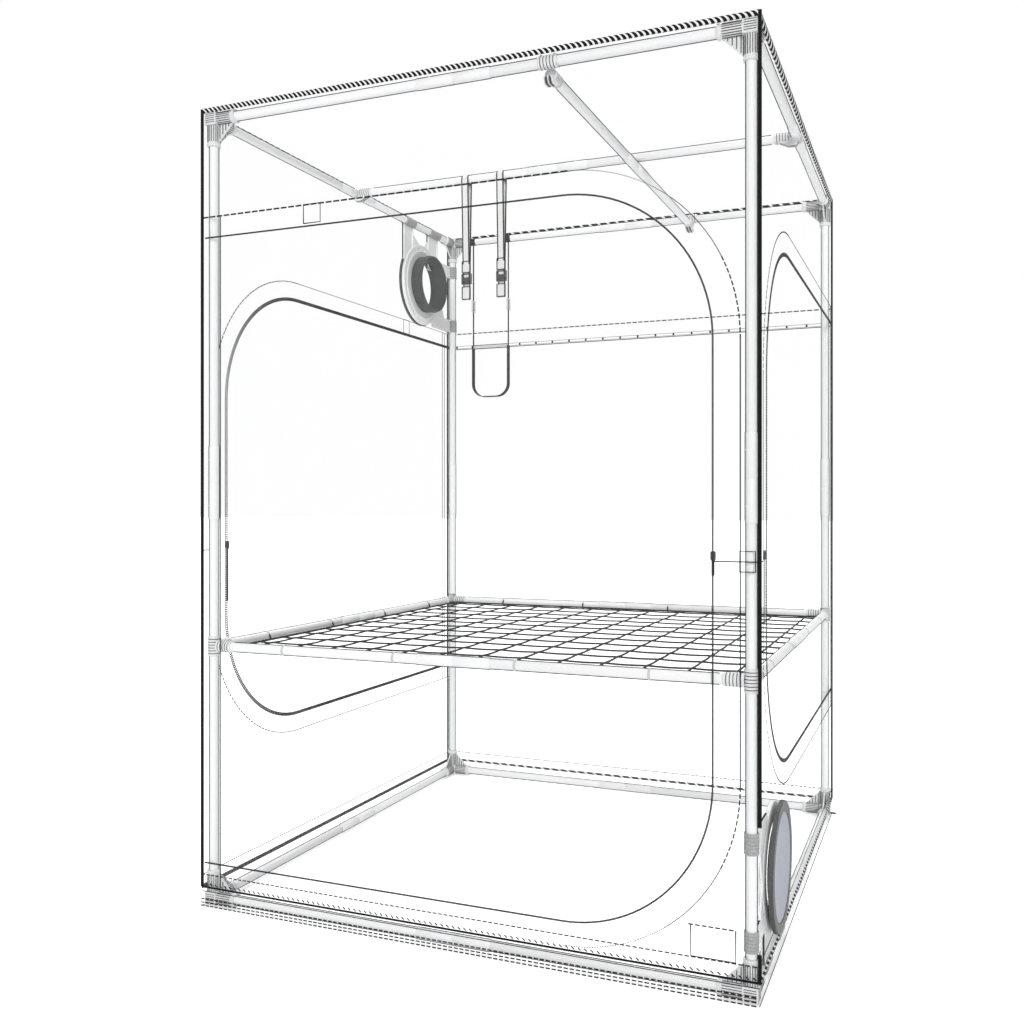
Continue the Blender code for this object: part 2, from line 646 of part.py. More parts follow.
black(zip_band("front_zip", -HINGE_X, FRONT_ZIP_X, FRONT_ZIP_LOW, FRONT_ZIP_TOP, FRONT_ZIP_R, FRONT))
side_zip = zip_band("side_and_rear_zip", -HINGE_Y, SIDE_ZIP_Y, SIDE_ZIP_LOW, SIDE_ZIP_TOP, SIDE_ZIP_R, LEFT)
pieces = [side_zip]
pieces.append(zip_band("band", HINGE_Y, -SIDE_ZIP_Y, SIDE_ZIP_LOW, SIDE_ZIP_TOP, SIDE_ZIP_R, RIGHT))
pieces.append(slab("band", [rect(-HINGE_X, HINGE_X, SIDE_ZIP_TOP - ZIP_W / 2, SIDE_ZIP_TOP + ZIP_W / 2)],
                   -SKIN_OUT - ZIP_T, -SKIN_OUT, REAR))
for frame, way in ((LEFT, -1), (RIGHT, 1)):
    ends = sorted((way * (side_half - LINK_STEP), way * (HINGE_Y - LINK_IN)))
    pieces.append(slab("link", [rect(ends[0], ends[1], SIDE_ZIP_TOP - LINK_H / 2, SIDE_ZIP_TOP + LINK_H / 2)],
                       -SKIN_IN - GAP - LINK_T, -SKIN_IN - GAP, frame))
slim = LINK_H / 2 - LINK_STEP
for way in (-1, 1):
    ends = sorted((way * (HALF_W - SKIN_IN - GAP - LINK_STEP), way * (HINGE_X - LINK_IN)))
    pieces.append(slab("link", [rect(ends[0], ends[1], SIDE_ZIP_TOP - slim, SIDE_ZIP_TOP + slim)],
                       -SKIN_IN - GAP - LINK_T, -SKIN_IN - GAP, REAR))
union(pieces)
black(side_zip)

# Zip sliders on the inner side of the chains, each with a pull
def slider(name, along, pull_w, pull_len, frame):
    top = -SKIN_OUT - ZIP_T - GAP
    body = slab(name, [rect(along - SLIDER_W / 2, along + SLIDER_W / 2, SLIDER_Z, SLIDER_Z + SLIDER_H)],
                top - SLIDER_T, top, frame)
    pull = slab("pull", [rect(along - pull_w / 2, along + pull_w / 2, SLIDER_Z - pull_len,
                              SLIDER_Z + pull_w)],
                top - 2 * TAPE_T, top - TAPE_T, frame)
    union([body, pull])
    return paint(set_origin(body, frame @ Vector((along, SLIDER_Z, top))), (0.06, 0.06, 0.06), 0.5, 0.3)


slider("front_slider", FRONT_ZIP_X, TAB_W, TAB_LEN, FRONT)
slider("left_slider", SIDE_ZIP_Y, TAPE_W, TAPE_LEN, LEFT)
slider("right_slider", -SIDE_ZIP_Y, TAPE_W, TAPE_LEN, RIGHT)

# Port plates: a thick disc with a hole, arms to the rail and grips to the pole, all with snap rings
def port_plate(name, up, frame):
    face = -PLATE_BACK - PLATE_T

    def outline(points):
        return [(-a, up * b) for a, b in points]

    plate = slab(name, [circle(0, 0, PLATE_R)], face, -PLATE_BACK, frame)
    arms = [
        rect(ARM_FAR_LOW, ARM_FAR_HIGH, ARM_ROOT, PORT_RAIL),
        rect(ARM_NEAR_LOW, ARM_NEAR_HIGH, ARM_ROOT / 2, PORT_RAIL),
        rect(WEB_IN, PORT_POLE, GRIP_A_LOW, GRIP_A_HIGH),
        rect(WEB_IN, PORT_POLE, GRIP_B_LOW, GRIP_B_HIGH),
        [(ARM_FAR_HIGH - FLAP_LAP, WEB_SPAN), (WEB_EDGE, WEB_SPAN), (WEB_EDGE, PLATE_R - FLAP_LAP),
         (ARM_FAR_HIGH - FLAP_LAP, WEB_RISE)],
        [(WEB_SPAN, GRIP_B_LOW + FLAP_LAP), (PORT_POLE - CLIP_LEN, GRIP_B_LOW + FLAP_LAP),
         (WEB_SPAN + WEB_IN, WEB_EDGE), (WEB_SPAN, WEB_EDGE)],
    ]
    pieces = [plate]
    for order, arm in enumerate(arms):
        inset = WEB_STEP * (1 + order % 3)
        pieces.append(slab("arm", [outline(arm)], -PLATE_BACK - WEB_T + inset, -PLATE_BACK - inset, frame))
    rail = (0, up * PORT_RAIL, -AXIS_SIDE)
    pole = (-PORT_POLE, 0, -AXIS_SIDE)
    for low, high in ((ARM_FAR_LOW, ARM_FAR_HIGH), (ARM_NEAR_LOW, ARM_NEAR_HIGH)):
        pieces.append(rod("ring", rail, "X", -high, -low, CLIP_R, frame))
    for low, high in ((GRIP_A_LOW, GRIP_A_HIGH), (GRIP_B_LOW, GRIP_B_HIGH)):
        ends = sorted((up * low, up * high))
        pieces.append(rod("ring", pole, "Y", ends[0], ends[1], CLIP_R, frame))
    union(pieces)
    cut(plate, [slab("hole", [circle(0, 0, PLATE_HOLE_R)], 2 * face, 0, frame),
                rod("bore", rail, "X", -PORT_POLE, PORT_POLE, BORE_R, frame),
                rod("bore", pole, "Y", -PORT_POLE, PORT_POLE, BORE_R, frame)])
    return paint(smooth(plate), (0.62, 0.63, 0.63), 0.5)


vent_frame = LEFT @ Matrix.Translation((-VENT_Y, VENT_Z, 0))
intake_frame = RIGHT @ Matrix.Translation((INTAKE_Y, INTAKE_Z, 0))
port_plate("vent_plate", 1, vent_frame)
port_plate("intake_plate", -1, intake_frame)

# Vent collar: duct through the wall, gasket behind the plate and flange on its face
face = PLATE_BACK + PLATE_T + GAP
collar = turned("vent_collar", [
    (DUCT_R, -SKIN_OUT), (DUCT_R, -TRAY_OUT), (GASKET_R, -TRAY_OUT), (GASKET_R, GAP - PLATE_BACK),
    (DUCT_R, GAP - PLATE_BACK), (DUCT_R, -face), (FLANGE_R, -face), (FLANGE_R, -face - FLANGE_T),
    (DUCT_R, -face - FLANGE_T), (DUCT_R, -face - DUCT_IN), (DUCT_R - DUCT_WALL, -face - DUCT_IN),
    (DUCT_R - DUCT_WALL, -SKIN_OUT),
], DISC_SEG, vent_frame)
paint(smooth(collar), (0.10, 0.105, 0.11), 0.55)

# Intake ring outside the wall, with its neck through the skin, and the filter disc in its seat
ring = turned("intake_ring", [
    (RING_R, RING_OUT), (RING_R, -BIND_T), (RING_NECK_R, -BIND_T), (RING_NECK_R, GAP - PLATE_BACK),
    (RING_LIP_R, GAP - PLATE_BACK), (RING_LIP_R, RING_OUT - RING_SEAT_T),
    (RING_SEAT_R, RING_OUT - RING_SEAT_T),
    (RING_SEAT_R, RING_OUT),
], DISC_SEG, intake_frame)
paint(smooth(ring), (0.10, 0.105, 0.11), 0.55)
seat = RING_OUT - RING_SEAT_T + GAP
disc = slab("intake_filter", [circle(0, 0, RING_SEAT_R - 2 * GAP)], seat, seat + FILTER_T, intake_frame)
paint(disc, (0.50, 0.56, 0.62), 0.8)

# Hanging straps: a webbing loop over the roof bar, closed in the buckle, with a short tail
def strap(name, middle):
    neck = BUCKLE_Z + BUCKLE_H - Z_TOP
    low = STRAP_LOW - Z_TOP
    catch = BUCKLE_Z - Z_TOP
    outer = []
    inner = []
    for step in range(9):
        angle = pi * step / 8
        outer.append(((BORE_R + WEBBING_T) * cos(angle), (BORE_R + WEBBING_T) * sin(angle)))
        inner.append((BORE_R * cos(angle), BORE_R * sin(angle)))
    outer += [(-STRAP_NECK - WEBBING_T, neck), (-STRAP_NECK - WEBBING_T, catch), (-WEBBING_T, low),
              (WEBBING_T, low), (STRAP_NECK + WEBBING_T, catch), (STRAP_NECK + WEBBING_T, neck)]
    inner += [(-STRAP_NECK, neck), (-STRAP_NECK, catch), (STRAP_NECK, catch), (STRAP_NECK, neck)]
    side = (Matrix.Translation((middle, 0, Z_TOP)) @ Matrix.Rotation(radians(90), 4, "Z")
            @ Matrix.Rotation(radians(90), 4, "X"))
    band = slab(name, [outer, inner], -WEBBING_W / 2, WEBBING_W / 2, side)
    buckle = cube("buckle", (middle - BUCKLE_W / 2, -BUCKLE_T / 2, BUCKLE_Z - BUCKLE_H / 2),
                  (middle + BUCKLE_W / 2, BUCKLE_T / 2, BUCKLE_Z + BUCKLE_H / 2))
    union([band, buckle])
    return paint(band, (0.75, 0.75, 0.74), 0.9)


strap("strap_left", STRAP_A_X)
strap("strap_right", STRAP_B_X)

# Sling on the rear top rail: two upright webs with eyes, a cross band and a rounded foot
half_web = WEBBING_W / 2


def sling_leg(name, along):
    outline = []
    for step in range(SEG + 1):
        angle = -pi / 6 + (pi + pi / 3) * step / SEG
        outline.append((SLING_EYE_R * cos(angle), SLING_EYE_R * sin(angle)))
    foot_v = SLING_LOW + SLING_ROUND - Z_TOP
    outline += [(-half_web, foot_v), (half_web, foot_v)]
    side = (Matrix.Translation((along, AY, Z_TOP)) @ Matrix.Rotation(radians(90), 4, "Z")
            @ Matrix.Rotation(radians(90), 4, "X"))
    eye = circle(0, 0, (TUBE_R + GAP) / cos(pi / EYE_SEG), EYE_SEG)
    return slab(name, [outline, eye], -WEBBING_T / 2, WEBBING_T / 2, side)


def u_band():
    side = SLING_SPAN / 2 + WEBBING_T
    top = SLING_LOW + SLING_ROUND + WEBBING_W
    outer = [(-side, top)]
    inner = [(2 * WEBBING_T - side, top)]
    for way in (-1, 1):
        for step in range(7):
            angle = pi / 2 * (step if way < 0 else 6 - step) / 6
            u = SLING_ROUND * (1 - cos(angle)) - side
            v = SLING_LOW + SLING_ROUND * (1 - sin(angle))
            outer.append((-way * u, v))
            inner.append((-way * (u + 2 * WEBBING_T * cos(angle)), v + 2 * WEBBING_T * sin(angle)))
    outer.append((side, top))
    inner.append((side - 2 * WEBBING_T, top))
    flat = Matrix.Translation((SLING_X, AY, 0)) @ Matrix.Rotation(radians(90), 4, "X")
    return slab("band", [outer + inner[::-1]], WEBBING_T - half_web, half_web - WEBBING_T, flat)


sling = sling_leg("rear_sling", SLING_X - SLING_SPAN / 2)
cross = cube("cross", (SLING_X - SLING_SPAN / 2, AY - half_web + WEBBING_T, SLING_BAND_Z - WEBBING_T),
             (SLING_X + SLING_SPAN / 2, AY + half_web - WEBBING_T, SLING_BAND_Z + WEBBING_T))
union([sling, sling_leg("leg", SLING_X + SLING_SPAN / 2), cross, u_band()])
paint(set_origin(sling, (SLING_X, AY, Z_TOP)), (0.70, 0.70, 0.69), 0.9)
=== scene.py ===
from math import atan2, cos, pi, radians, sin

import bmesh
import bpy
from mathutils import Matrix, Vector


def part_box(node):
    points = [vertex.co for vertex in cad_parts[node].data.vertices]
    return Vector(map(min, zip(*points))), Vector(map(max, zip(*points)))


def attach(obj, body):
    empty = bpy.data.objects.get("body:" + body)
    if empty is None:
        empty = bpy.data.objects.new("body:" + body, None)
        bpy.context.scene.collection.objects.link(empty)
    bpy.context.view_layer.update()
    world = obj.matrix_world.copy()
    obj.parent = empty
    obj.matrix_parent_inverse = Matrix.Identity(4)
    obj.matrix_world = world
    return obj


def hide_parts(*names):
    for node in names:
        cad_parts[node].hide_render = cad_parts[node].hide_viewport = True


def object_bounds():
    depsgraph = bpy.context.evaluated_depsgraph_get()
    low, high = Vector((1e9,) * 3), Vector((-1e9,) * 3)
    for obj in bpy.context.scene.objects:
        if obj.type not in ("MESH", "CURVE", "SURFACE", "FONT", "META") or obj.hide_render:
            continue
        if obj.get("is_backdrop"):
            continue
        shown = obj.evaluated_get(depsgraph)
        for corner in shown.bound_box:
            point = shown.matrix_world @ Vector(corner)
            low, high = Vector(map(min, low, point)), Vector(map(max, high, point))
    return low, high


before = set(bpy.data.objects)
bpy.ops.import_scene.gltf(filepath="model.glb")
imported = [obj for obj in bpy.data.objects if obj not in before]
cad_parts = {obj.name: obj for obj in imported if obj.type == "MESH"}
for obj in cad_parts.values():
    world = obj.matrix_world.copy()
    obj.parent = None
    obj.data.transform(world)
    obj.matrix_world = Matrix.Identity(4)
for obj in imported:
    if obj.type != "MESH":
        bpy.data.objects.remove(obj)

cad_low, cad_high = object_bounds()
scene = bpy.context.scene

# Camera: it stands to the right of the tent's front, level with the middle of the poles, and its
# axis passes a little above and to the right of the picture's middle.
PICTURE = 1024
CAMERA_PLACE = (1.126, -2.9954, 1.0958)
CAMERA_TURN = radians(22.125)
FOCAL_LENGTH = 1025.86
AXIS_PIXEL = (530.47, 502.43)
SENSOR = 36
SIGHT_RANGE = (0.05, 200)

camera = bpy.data.objects.new("camera", bpy.data.cameras.new("camera"))
scene.collection.objects.link(camera)
scene.camera = camera
camera.data.sensor_width = SENSOR
camera.data.lens = FOCAL_LENGTH / PICTURE * SENSOR
camera.data.shift_x = (PICTURE / 2 - AXIS_PIXEL[0]) / PICTURE
camera.data.shift_y = (AXIS_PIXEL[1] - PICTURE / 2) / PICTURE
camera.data.clip_start, camera.data.clip_end = SIGHT_RANGE
camera.location = CAMERA_PLACE
camera.rotation_euler = (pi / 2, 0, CAMERA_TURN)

# Studio: a white surround and three soft lamps, from the camera's side, from behind, and from
# straight above for the rails that run front to back. The many clear walls in front of each other
# need more see-through steps than usual.
AMBIENT = 0.20
LAMPS = {"key_light": (1.9, (radians(70), 0, CAMERA_TURN)),
         "fill_light": (1.2, (radians(60), 0, CAMERA_TURN + pi)),
         "top_light": (1.5, (0, 0, 0))}
SOFTNESS = radians(24)
SEE_THROUGH_STEPS = 48
FLOOR_REACH = 60
FLOOR_DROP = 0.0005
FLOOR_COLOUR = (0.93, 0.93, 0.93, 1)
FLOOR_ROUGHNESS = 0.9
FLOOR_LIFT = 0.50
WHITE = (1, 1, 1, 1)

scene.view_settings.view_transform = "Standard"
scene.cycles.transparent_max_bounces = SEE_THROUGH_STEPS
for name, (strength, turn) in LAMPS.items():
    lamp = bpy.data.objects.new(name, bpy.data.lights.new(name, "SUN"))
    scene.collection.objects.link(lamp)
    lamp.data.energy = strength
    lamp.data.angle = SOFTNESS
    lamp.rotation_euler = turn


def seen_directly(nodes, links):
    """1 for camera, mirror and see-through rays, 0 for the rays that light the object."""
    path = nodes.new("ShaderNodeLightPath")
    seen = path.outputs["Is Camera Ray"]
    for ray in ("Is Glossy Ray", "Is Transmission Ray"):
        either = nodes.new("ShaderNodeMath")
        either.operation = "MAXIMUM"
        links.new(seen, either.inputs[0])
        links.new(path.outputs[ray], either.inputs[1])
        seen = either.outputs[0]
    return seen


world = bpy.data.worlds.new("white_surround")
scene.world = world
world.use_nodes = True
sky = world.node_tree
strength = sky.nodes.new("ShaderNodeMapRange")
strength.inputs["To Min"].default_value = AMBIENT
strength.inputs["To Max"].default_value = 1.0
sky.links.new(seen_directly(sky.nodes, sky.links), strength.inputs["Value"])
sky.nodes["Background"].inputs["Color"].default_value = WHITE
sky.links.new(strength.outputs[0], sky.nodes["Background"].inputs["Strength"])

floor_mesh = bpy.data.meshes.new("floor")
bm = bmesh.new()
bmesh.ops.create_grid(bm, x_segments=4, y_segments=4, size=FLOOR_REACH)
bmesh.ops.translate(bm, verts=bm.verts, vec=(0, 0, cad_low.z - FLOOR_DROP))
bm.to_mesh(floor_mesh)
bm.free()
floor = bpy.data.objects.new("floor", floor_mesh)
scene.collection.objects.link(floor)
paper = bpy.data.materials.new("white_floor")
paper.use_nodes = True
tree = paper.node_tree
shader = tree.nodes["Principled BSDF"]
shader.inputs["Base Color"].default_value = FLOOR_COLOUR
shader.inputs["Roughness"].default_value = FLOOR_ROUGHNESS
shader.inputs["Emission Color"].default_value = WHITE
lift = tree.nodes.new("ShaderNodeMath")
lift.operation = "MULTIPLY"
lift.inputs[1].default_value = FLOOR_LIFT
tree.links.new(seen_directly(tree.nodes, tree.links), lift.inputs[0])
tree.links.new(lift.outputs[0], shader.inputs["Emission Strength"])
floor_mesh.materials.append(paper)
floor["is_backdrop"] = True

# Frame tubes: white powder-coated steel, 25 mm across. Each is two lengths joined by a pinned
# sleeve, pushed into a connector at both ends. Two fine dark lines run along it, a little forward
# of its sides as the camera sees them: painted shade that darkens the tube's edges.
TUBE_R = 0.0125
SLEEVE_LEN = 0.2
SLEEVE_MIDDLE = 1.15
SLEEVE_LIFT = 0.0012
SLEEVE_LIP = 0.0008
JOINT_GROOVE = 0.0012
JOINT_DEPTH = 0.0009
PIN_R = 0.0034
PIN_RISE = 0.0012
PIN_OUT = 0.062
EDGE_SHADE_R = 0.0018
EDGE_SHADE_SINK = 0.0002
EDGE_SHADE_END = 0.05
EDGE_SHADE_SIDE = radians(78)
EDGE = 0.001
ROUND = 32
CREASE = radians(38)
BEVEL_FROM = radians(50)
AXES = {"X": Vector((1, 0, 0)), "Y": Vector((0, 1, 0)), "Z": Vector((0, 0, 1))}


def moved(x, y, z):
    return Matrix.Translation((x, y, z))


def turned(angle, axis="Z"):
    return Matrix.Rotation(angle, 4, axis)


def along(axis, centre=(0, 0, 0)):
    """A place whose local Z runs along an axis."""
    return moved(*centre) @ AXES[axis].to_track_quat("Z", "X").to_matrix().to_4x4()


def centre_of(node):
    low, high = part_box(node)
    return (low + high) / 2


def add_turned(bm, profile, place, sides=ROUND, closed=True):
    """A profile of (radius, height) points turned about the local Z of a place."""
    angles = [2 * pi * i / sides for i in range(sides)]
    rings = [[bm.verts.new(place @ Vector((r * cos(a), r * sin(a), h))) for a in angles] for r, h in profile]
    for low, high in zip(rings, rings[1:] + rings[:1] if closed else rings[1:]):
        for i in range(sides):
            j = (i + 1) % sides
            bm.faces.new((low[i], low[j], high[j], high[i]))
    if not closed:
        bm.faces.new(rings[0][::-1])
        bm.faces.new(rings[-1])


def add_box(bm, low, high, place=Matrix()):
    low, high = Vector(low), Vector(high)
    bmesh.ops.create_cube(bm, size=1, matrix=place @ moved(*(low + high) / 2)
                          @ Matrix.Diagonal((*(high - low), 1)))


def made(name, bm, material, body="tent", replaced=(), bevel=0.0):
    """Turns the built mesh into a piece that rides on a body and stands for its solids."""
    bmesh.ops.recalc_face_normals(bm, faces=bm.faces)
    mesh = bpy.data.meshes.new(name)
    bm.to_mesh(mesh)
    bm.free()
    mesh.shade_smooth()
    mesh.set_sharp_from_angle(angle=CREASE)
    mesh.materials.append(material)
    piece = bpy.data.objects.new(name, mesh)
    scene.collection.objects.link(piece)
    if bevel:
        edge = piece.modifiers.new("edges", "BEVEL")
        edge.width = bevel
        edge.segments = 2
        edge.limit_method = "ANGLE"
        edge.angle_limit = BEVEL_FROM
    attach(piece, body)
    if replaced:
        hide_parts(*replaced)
    return piece


def surface(name, colours, roughness, grain, bump, metallic=0.0, specular=0.5):
    """A finish whose colour and relief vary with a fine grain, by the object's own coordinates."""
    material = bpy.data.materials.new(name)
    material.use_nodes = True
    nodes, links = material.node_tree.nodes, material.node_tree.links
    shader = nodes["Principled BSDF"]
    shader.inputs["Roughness"].default_value = roughness
    shader.inputs["Metallic"].default_value = metallic
    shader.inputs["Specular IOR Level"].default_value = specular
    where = nodes.new("ShaderNodeTexCoord")
    speckle = nodes.new("ShaderNodeTexNoise")
    speckle.inputs["Scale"].default_value = grain
    speckle.inputs["Detail"].default_value = 4
    links.new(where.outputs["Object"], speckle.inputs["Vector"])
    tone = nodes.new("ShaderNodeValToRGB")
    for stop, position, colour in zip(tone.color_ramp.elements, (0.35, 0.65), colours):
        stop.position = position
        stop.color = (*colour, 1)
    links.new(speckle.outputs["Fac"], tone.inputs["Fac"])
    links.new(tone.outputs["Color"], shader.inputs["Base Color"])
    relief = nodes.new("ShaderNodeBump")
    relief.inputs["Strength"].default_value = bump
    relief.inputs["Distance"].default_value = 0.0004
    links.new(speckle.outputs["Fac"], relief.inputs["Height"])
    links.new(relief.outputs["Normal"], shader.inputs["Normal"])
    return material


powder_coat = surface("white_powder_coat", ((0.80, 0.81, 0.82), (0.87, 0.88, 0.88)), 0.45, 900, 0.25,
                      specular=0.25)
# Dark finish of the lines along the tubes: painted shade for the tubes' edges.
painted_edge_shade = surface("painted_tube_edge_shade", ((0.006, 0.006, 0.006), (0.03, 0.03, 0.031)), 0.7, 900, 0.3,
                    specular=0.2)


def frame_tube(node, edge_shade_mesh):
    low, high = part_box(node)
    size = high - low
    axis = "XYZ"[max(range(3), key=lambda i: size[i])]
    centre = (low + high) / 2
    half = max(size) / 2
    middle = 0.0 if axis != "Z" else SLEEVE_MIDDLE - centre.z
    start, stop = middle - SLEEVE_LEN / 2, middle + SLEEVE_LEN / 2
    sleeve_r = TUBE_R + SLEEVE_LIFT
    place = along(axis, centre)
    bm = bmesh.new()
    add_turned(bm, [
        (TUBE_R - EDGE, -half), (TUBE_R, EDGE - half), (TUBE_R, start - JOINT_GROOVE),
        (TUBE_R - SLEEVE_LIP, start), (sleeve_r - SLEEVE_LIP / 2, start), (sleeve_r, start + SLEEVE_LIP),
        (sleeve_r, middle - JOINT_GROOVE), (sleeve_r - JOINT_DEPTH, middle),
        (sleeve_r, middle + JOINT_GROOVE), (sleeve_r, stop - SLEEVE_LIP), (sleeve_r - SLEEVE_LIP / 2, stop),
        (TUBE_R - SLEEVE_LIP, stop), (TUBE_R, stop + JOINT_GROOVE), (TUBE_R, half - EDGE),
        (TUBE_R - EDGE, half)], place, closed=False)
    pin = [(PIN_R, sleeve_r - PIN_RISE), (PIN_R, sleeve_r + PIN_RISE / 3), (PIN_R * 0.7, sleeve_r + PIN_RISE)]
    for offset in (-PIN_OUT, PIN_OUT):
        for side in (1, -1):
            hole = place @ moved(0, 0, middle + offset) @ turned(side * pi / 4) @ turned(side * pi / 2, "X")
            add_turned(bm, pin, hole, 12, False)
    made(node + "_coated", bm, powder_coat, replaced=(node,))
    # The dark lines are turned toward the camera, so they sit along the tube's sides from there: painted edge
    # shade.
    facing = place.inverted() @ Vector(CAMERA_PLACE)
    for side in (-EDGE_SHADE_SIDE, EDGE_SHADE_SIDE):
        for low_end, high_end, radius in ((EDGE_SHADE_END - half, start, TUBE_R), (start, stop, sleeve_r),
                                          (stop, half - EDGE_SHADE_END, TUBE_R)):
            line = place @ turned(atan2(facing.y, facing.x) + side) @ moved(radius - EDGE_SHADE_SINK, 0, 0)
            add_turned(edge_shade_mesh, [(EDGE_SHADE_R, low_end), (EDGE_SHADE_R, high_end)], line, 8, False)


INWARD = {"front_left": (1, 1), "front_right": (-1, 1), "rear_right": (-1, -1), "rear_left": (1, -1)}
tubes = ["pole_" + corner for corner in INWARD]
for level in ("bottom", "net", "top"):
    tubes += [level + "_rail_" + side for side in ("front", "rear", "left", "right")]
# The dark lines along every tube, gathered into one piece: painted edge shade.
edge_shade_beads = bmesh.new()
for node in tubes + ["roof_bar_across", "roof_bar_deep"]:
    frame_tube(node, edge_shade_beads)
made("tube_edge_shade_lines", edge_shade_beads, painted_edge_shade)

# Corner connectors: moulded plastic, with three sockets on a square core. Ribbed webs brace each
# pair of sockets, and each socket has a rolled mouth and dark ribs along it. The ribs on the
# sockets, webs and core are dark as painted shade between ribs.
SOCKET_R = 0.0183
SOCKET_LEN = 0.075
MOUTH_R = 0.0187
MOUTH_LEN = 0.007
SOCKET_BORE = 0.0128
SOCKET_DEPTH = 0.019
WEB_T = 0.0052
WEB_REACH = 0.066
WEB_FOOT = 0.010
WEB_LIP = 0.004
BARREL_R = 0.0174
BARREL_RIBS = 20
RIB_SPAN = (0.019, 0.063)
WEB_RIBS = 4
RIB_T = 0.0019
RIB_RISE = 0.0016
CORE = BARREL_R + 0.0003
CORE_HALF = 0.0185
CORE_PITCH = 0.0055
CORE_RIB = (0.014, 0.0004, 0.004)
FINE_SIDES = 24

moulded = surface("pale_socket_plastic", ((0.66, 0.665, 0.67), (0.76, 0.765, 0.77)), 0.42, 420, 0.35,
                  specular=0.3)
# Dark finish of the ribs, the groove rings and alternate gusset slabs is painted shade between ribs; the
# screws that share it are dark in their own right.
rib_shade_and_screws = surface("painted_rib_shade_and_screws", ((0.02, 0.02, 0.021), (0.06, 0.06, 0.062)), 0.6, 600, 0.4)
SOCKET_PROFILE = [(SOCKET_BORE, SOCKET_DEPTH), (BARREL_R - 0.0012, 0.012), (BARREL_R, 0.014),
                  (BARREL_R, SOCKET_LEN - MOUTH_LEN), (MOUTH_R, SOCKET_LEN - MOUTH_LEN + 0.0008),
                  (MOUTH_R, SOCKET_LEN - EDGE), (MOUTH_R - EDGE, SOCKET_LEN), (SOCKET_BORE, SOCKET_LEN)]


def add_slab(bm, outline, low, high, place=Matrix()):
    """A flat outline given thickness along the local Z of a place."""
    under = [bm.verts.new(place @ Vector((u, v, low))) for u, v in outline]
    over = [bm.verts.new(place @ Vector((u, v, high))) for u, v in outline]
    bm.faces.new(under[::-1])
    bm.faces.new(over)
    for i in range(len(outline)):
        j = (i + 1) % len(outline)
        bm.faces.new((under[i], under[j], over[j], over[i]))


def mirrored(bm, place, signs):
    """Moves a mesh built for one corner to another, by turning its axes round."""
    for vert in bm.verts:
        vert.co = Vector(place) + Vector(a * s for a, s in zip(vert.co, signs))


def add_socket_web(body, ribs, place):
    lip = WEB_FOOT + WEB_LIP
    add_slab(body, [(WEB_FOOT, WEB_FOOT), (WEB_REACH, WEB_FOOT), (WEB_REACH, lip), (lip, WEB_REACH),
                    (WEB_FOOT, WEB_REACH)], -WEB_T / 2, WEB_T / 2, place)
    for i in range(WEB_RIBS):
        start = BARREL_R + (WEB_REACH - BARREL_R) * (i + 0.4) / (WEB_RIBS + 1)
        end = start + RIB_T
        top = WEB_REACH + WEB_FOOT - start - 0.002
        add_slab(ribs, [(start, BARREL_R), (end, BARREL_R), (end, top), (start, top + RIB_T)],
                 -WEB_T / 2 - RIB_RISE, WEB_T / 2 + RIB_RISE, place)


def corner_connector(node, signs):
    low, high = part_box(node)
    body, ribs = bmesh.new(), bmesh.new()
    bmesh.ops.create_cube(body, size=2 * CORE)
    for axis in "XYZ":
        place = along(axis)
        add_turned(body, SOCKET_PROFILE, place, FINE_SIDES)
        for i in range(BARREL_RIBS):
            add_box(ribs, (BARREL_R - EDGE, -RIB_T / 2, RIB_SPAN[0]), (SOCKET_R, RIB_T / 2, RIB_SPAN[1]),
                    place @ turned(2 * pi * i / BARREL_RIBS))
    upright = turned(pi / 2, "X")
    for place in (upright, turned(pi / 2) @ upright):
        add_socket_web(body, ribs, place)
    # Dark ribs across the core's faces: painted shade between ribs.
    reach, proud, sunk = CORE_RIB
    for axis in "XYZ":
        for i in range(-2, 3):
            step = i * CORE_PITCH
            add_box(ribs, (step - RIB_T / 2, -reach, -CORE - proud), (step + RIB_T / 2, reach, sunk - CORE),
                    along(axis))
    start = Vector(l if s > 0 else h for l, h, s in zip(low, high, signs))
    centre = start + Vector(s * CORE_HALF for s in signs)
    mirrored(body, centre, signs)
    mirrored(ribs, centre, signs)
    made(node + "_moulded", body, moulded, replaced=(node,), bevel=0.0005)
    made(node + "_ribs", ribs, rib_shade_and_screws)


for corner, (way_x, way_y) in INWARD.items():
    corner_connector("corner_bottom_" + corner, (way_x, way_y, 1))
    corner_connector("corner_top_" + corner, (way_x, way_y, -1))

# Roof bar clips and net clamps: split rings round a rail or a pole, with sockets for the bar or
# the net rails. A ribbed gusset hangs below each roof clip, and screws close the rings. The dark
# rings in the grooves and every other gusset slab are painted shade.
CLIP_R = 0.0163
CLIP_ARM_R = CLIP_R - 0.0004
CLIP_LEN = 0.05
CLIP_RIBS = 6
CLIP_SOCKET = (0.014, 0.062)
CLIP_BORE = 0.0129
RING_BORE = CLIP_BORE + 0.0012
GROOVE = (0.0013, 0.0012, 0.0006)
GROOVE_SHADE = (0.002, 0.0002, 0.0011)
GUSSET_DROP = 0.026
GUSSET_PITCH = 0.005
GUSSET_T = 0.0028
SCREW_R = 0.0035
SCREW = [(SCREW_R, -0.003), (SCREW_R, 0.0006), (SCREW_R * 0.75, 0.0016)]
CLIP_SCREW = (-0.004, 0.017, CLIP_R - EDGE)
CLAMP_LEN = 0.054
CLAMP_RIBS = 7
CLAMP_SCREW = (0.0115, 0.019)
CLIP_AXIS_Z = centre_of("roof_bar_across").z
BAR_DROP = CLIP_AXIS_Z - centre_of("roof_bar_deep").z
NET_RAIL_Z = centre_of("net_rail_front").z
AX = centre_of("pole_front_right").x
AY = -centre_of("pole_front_right").y


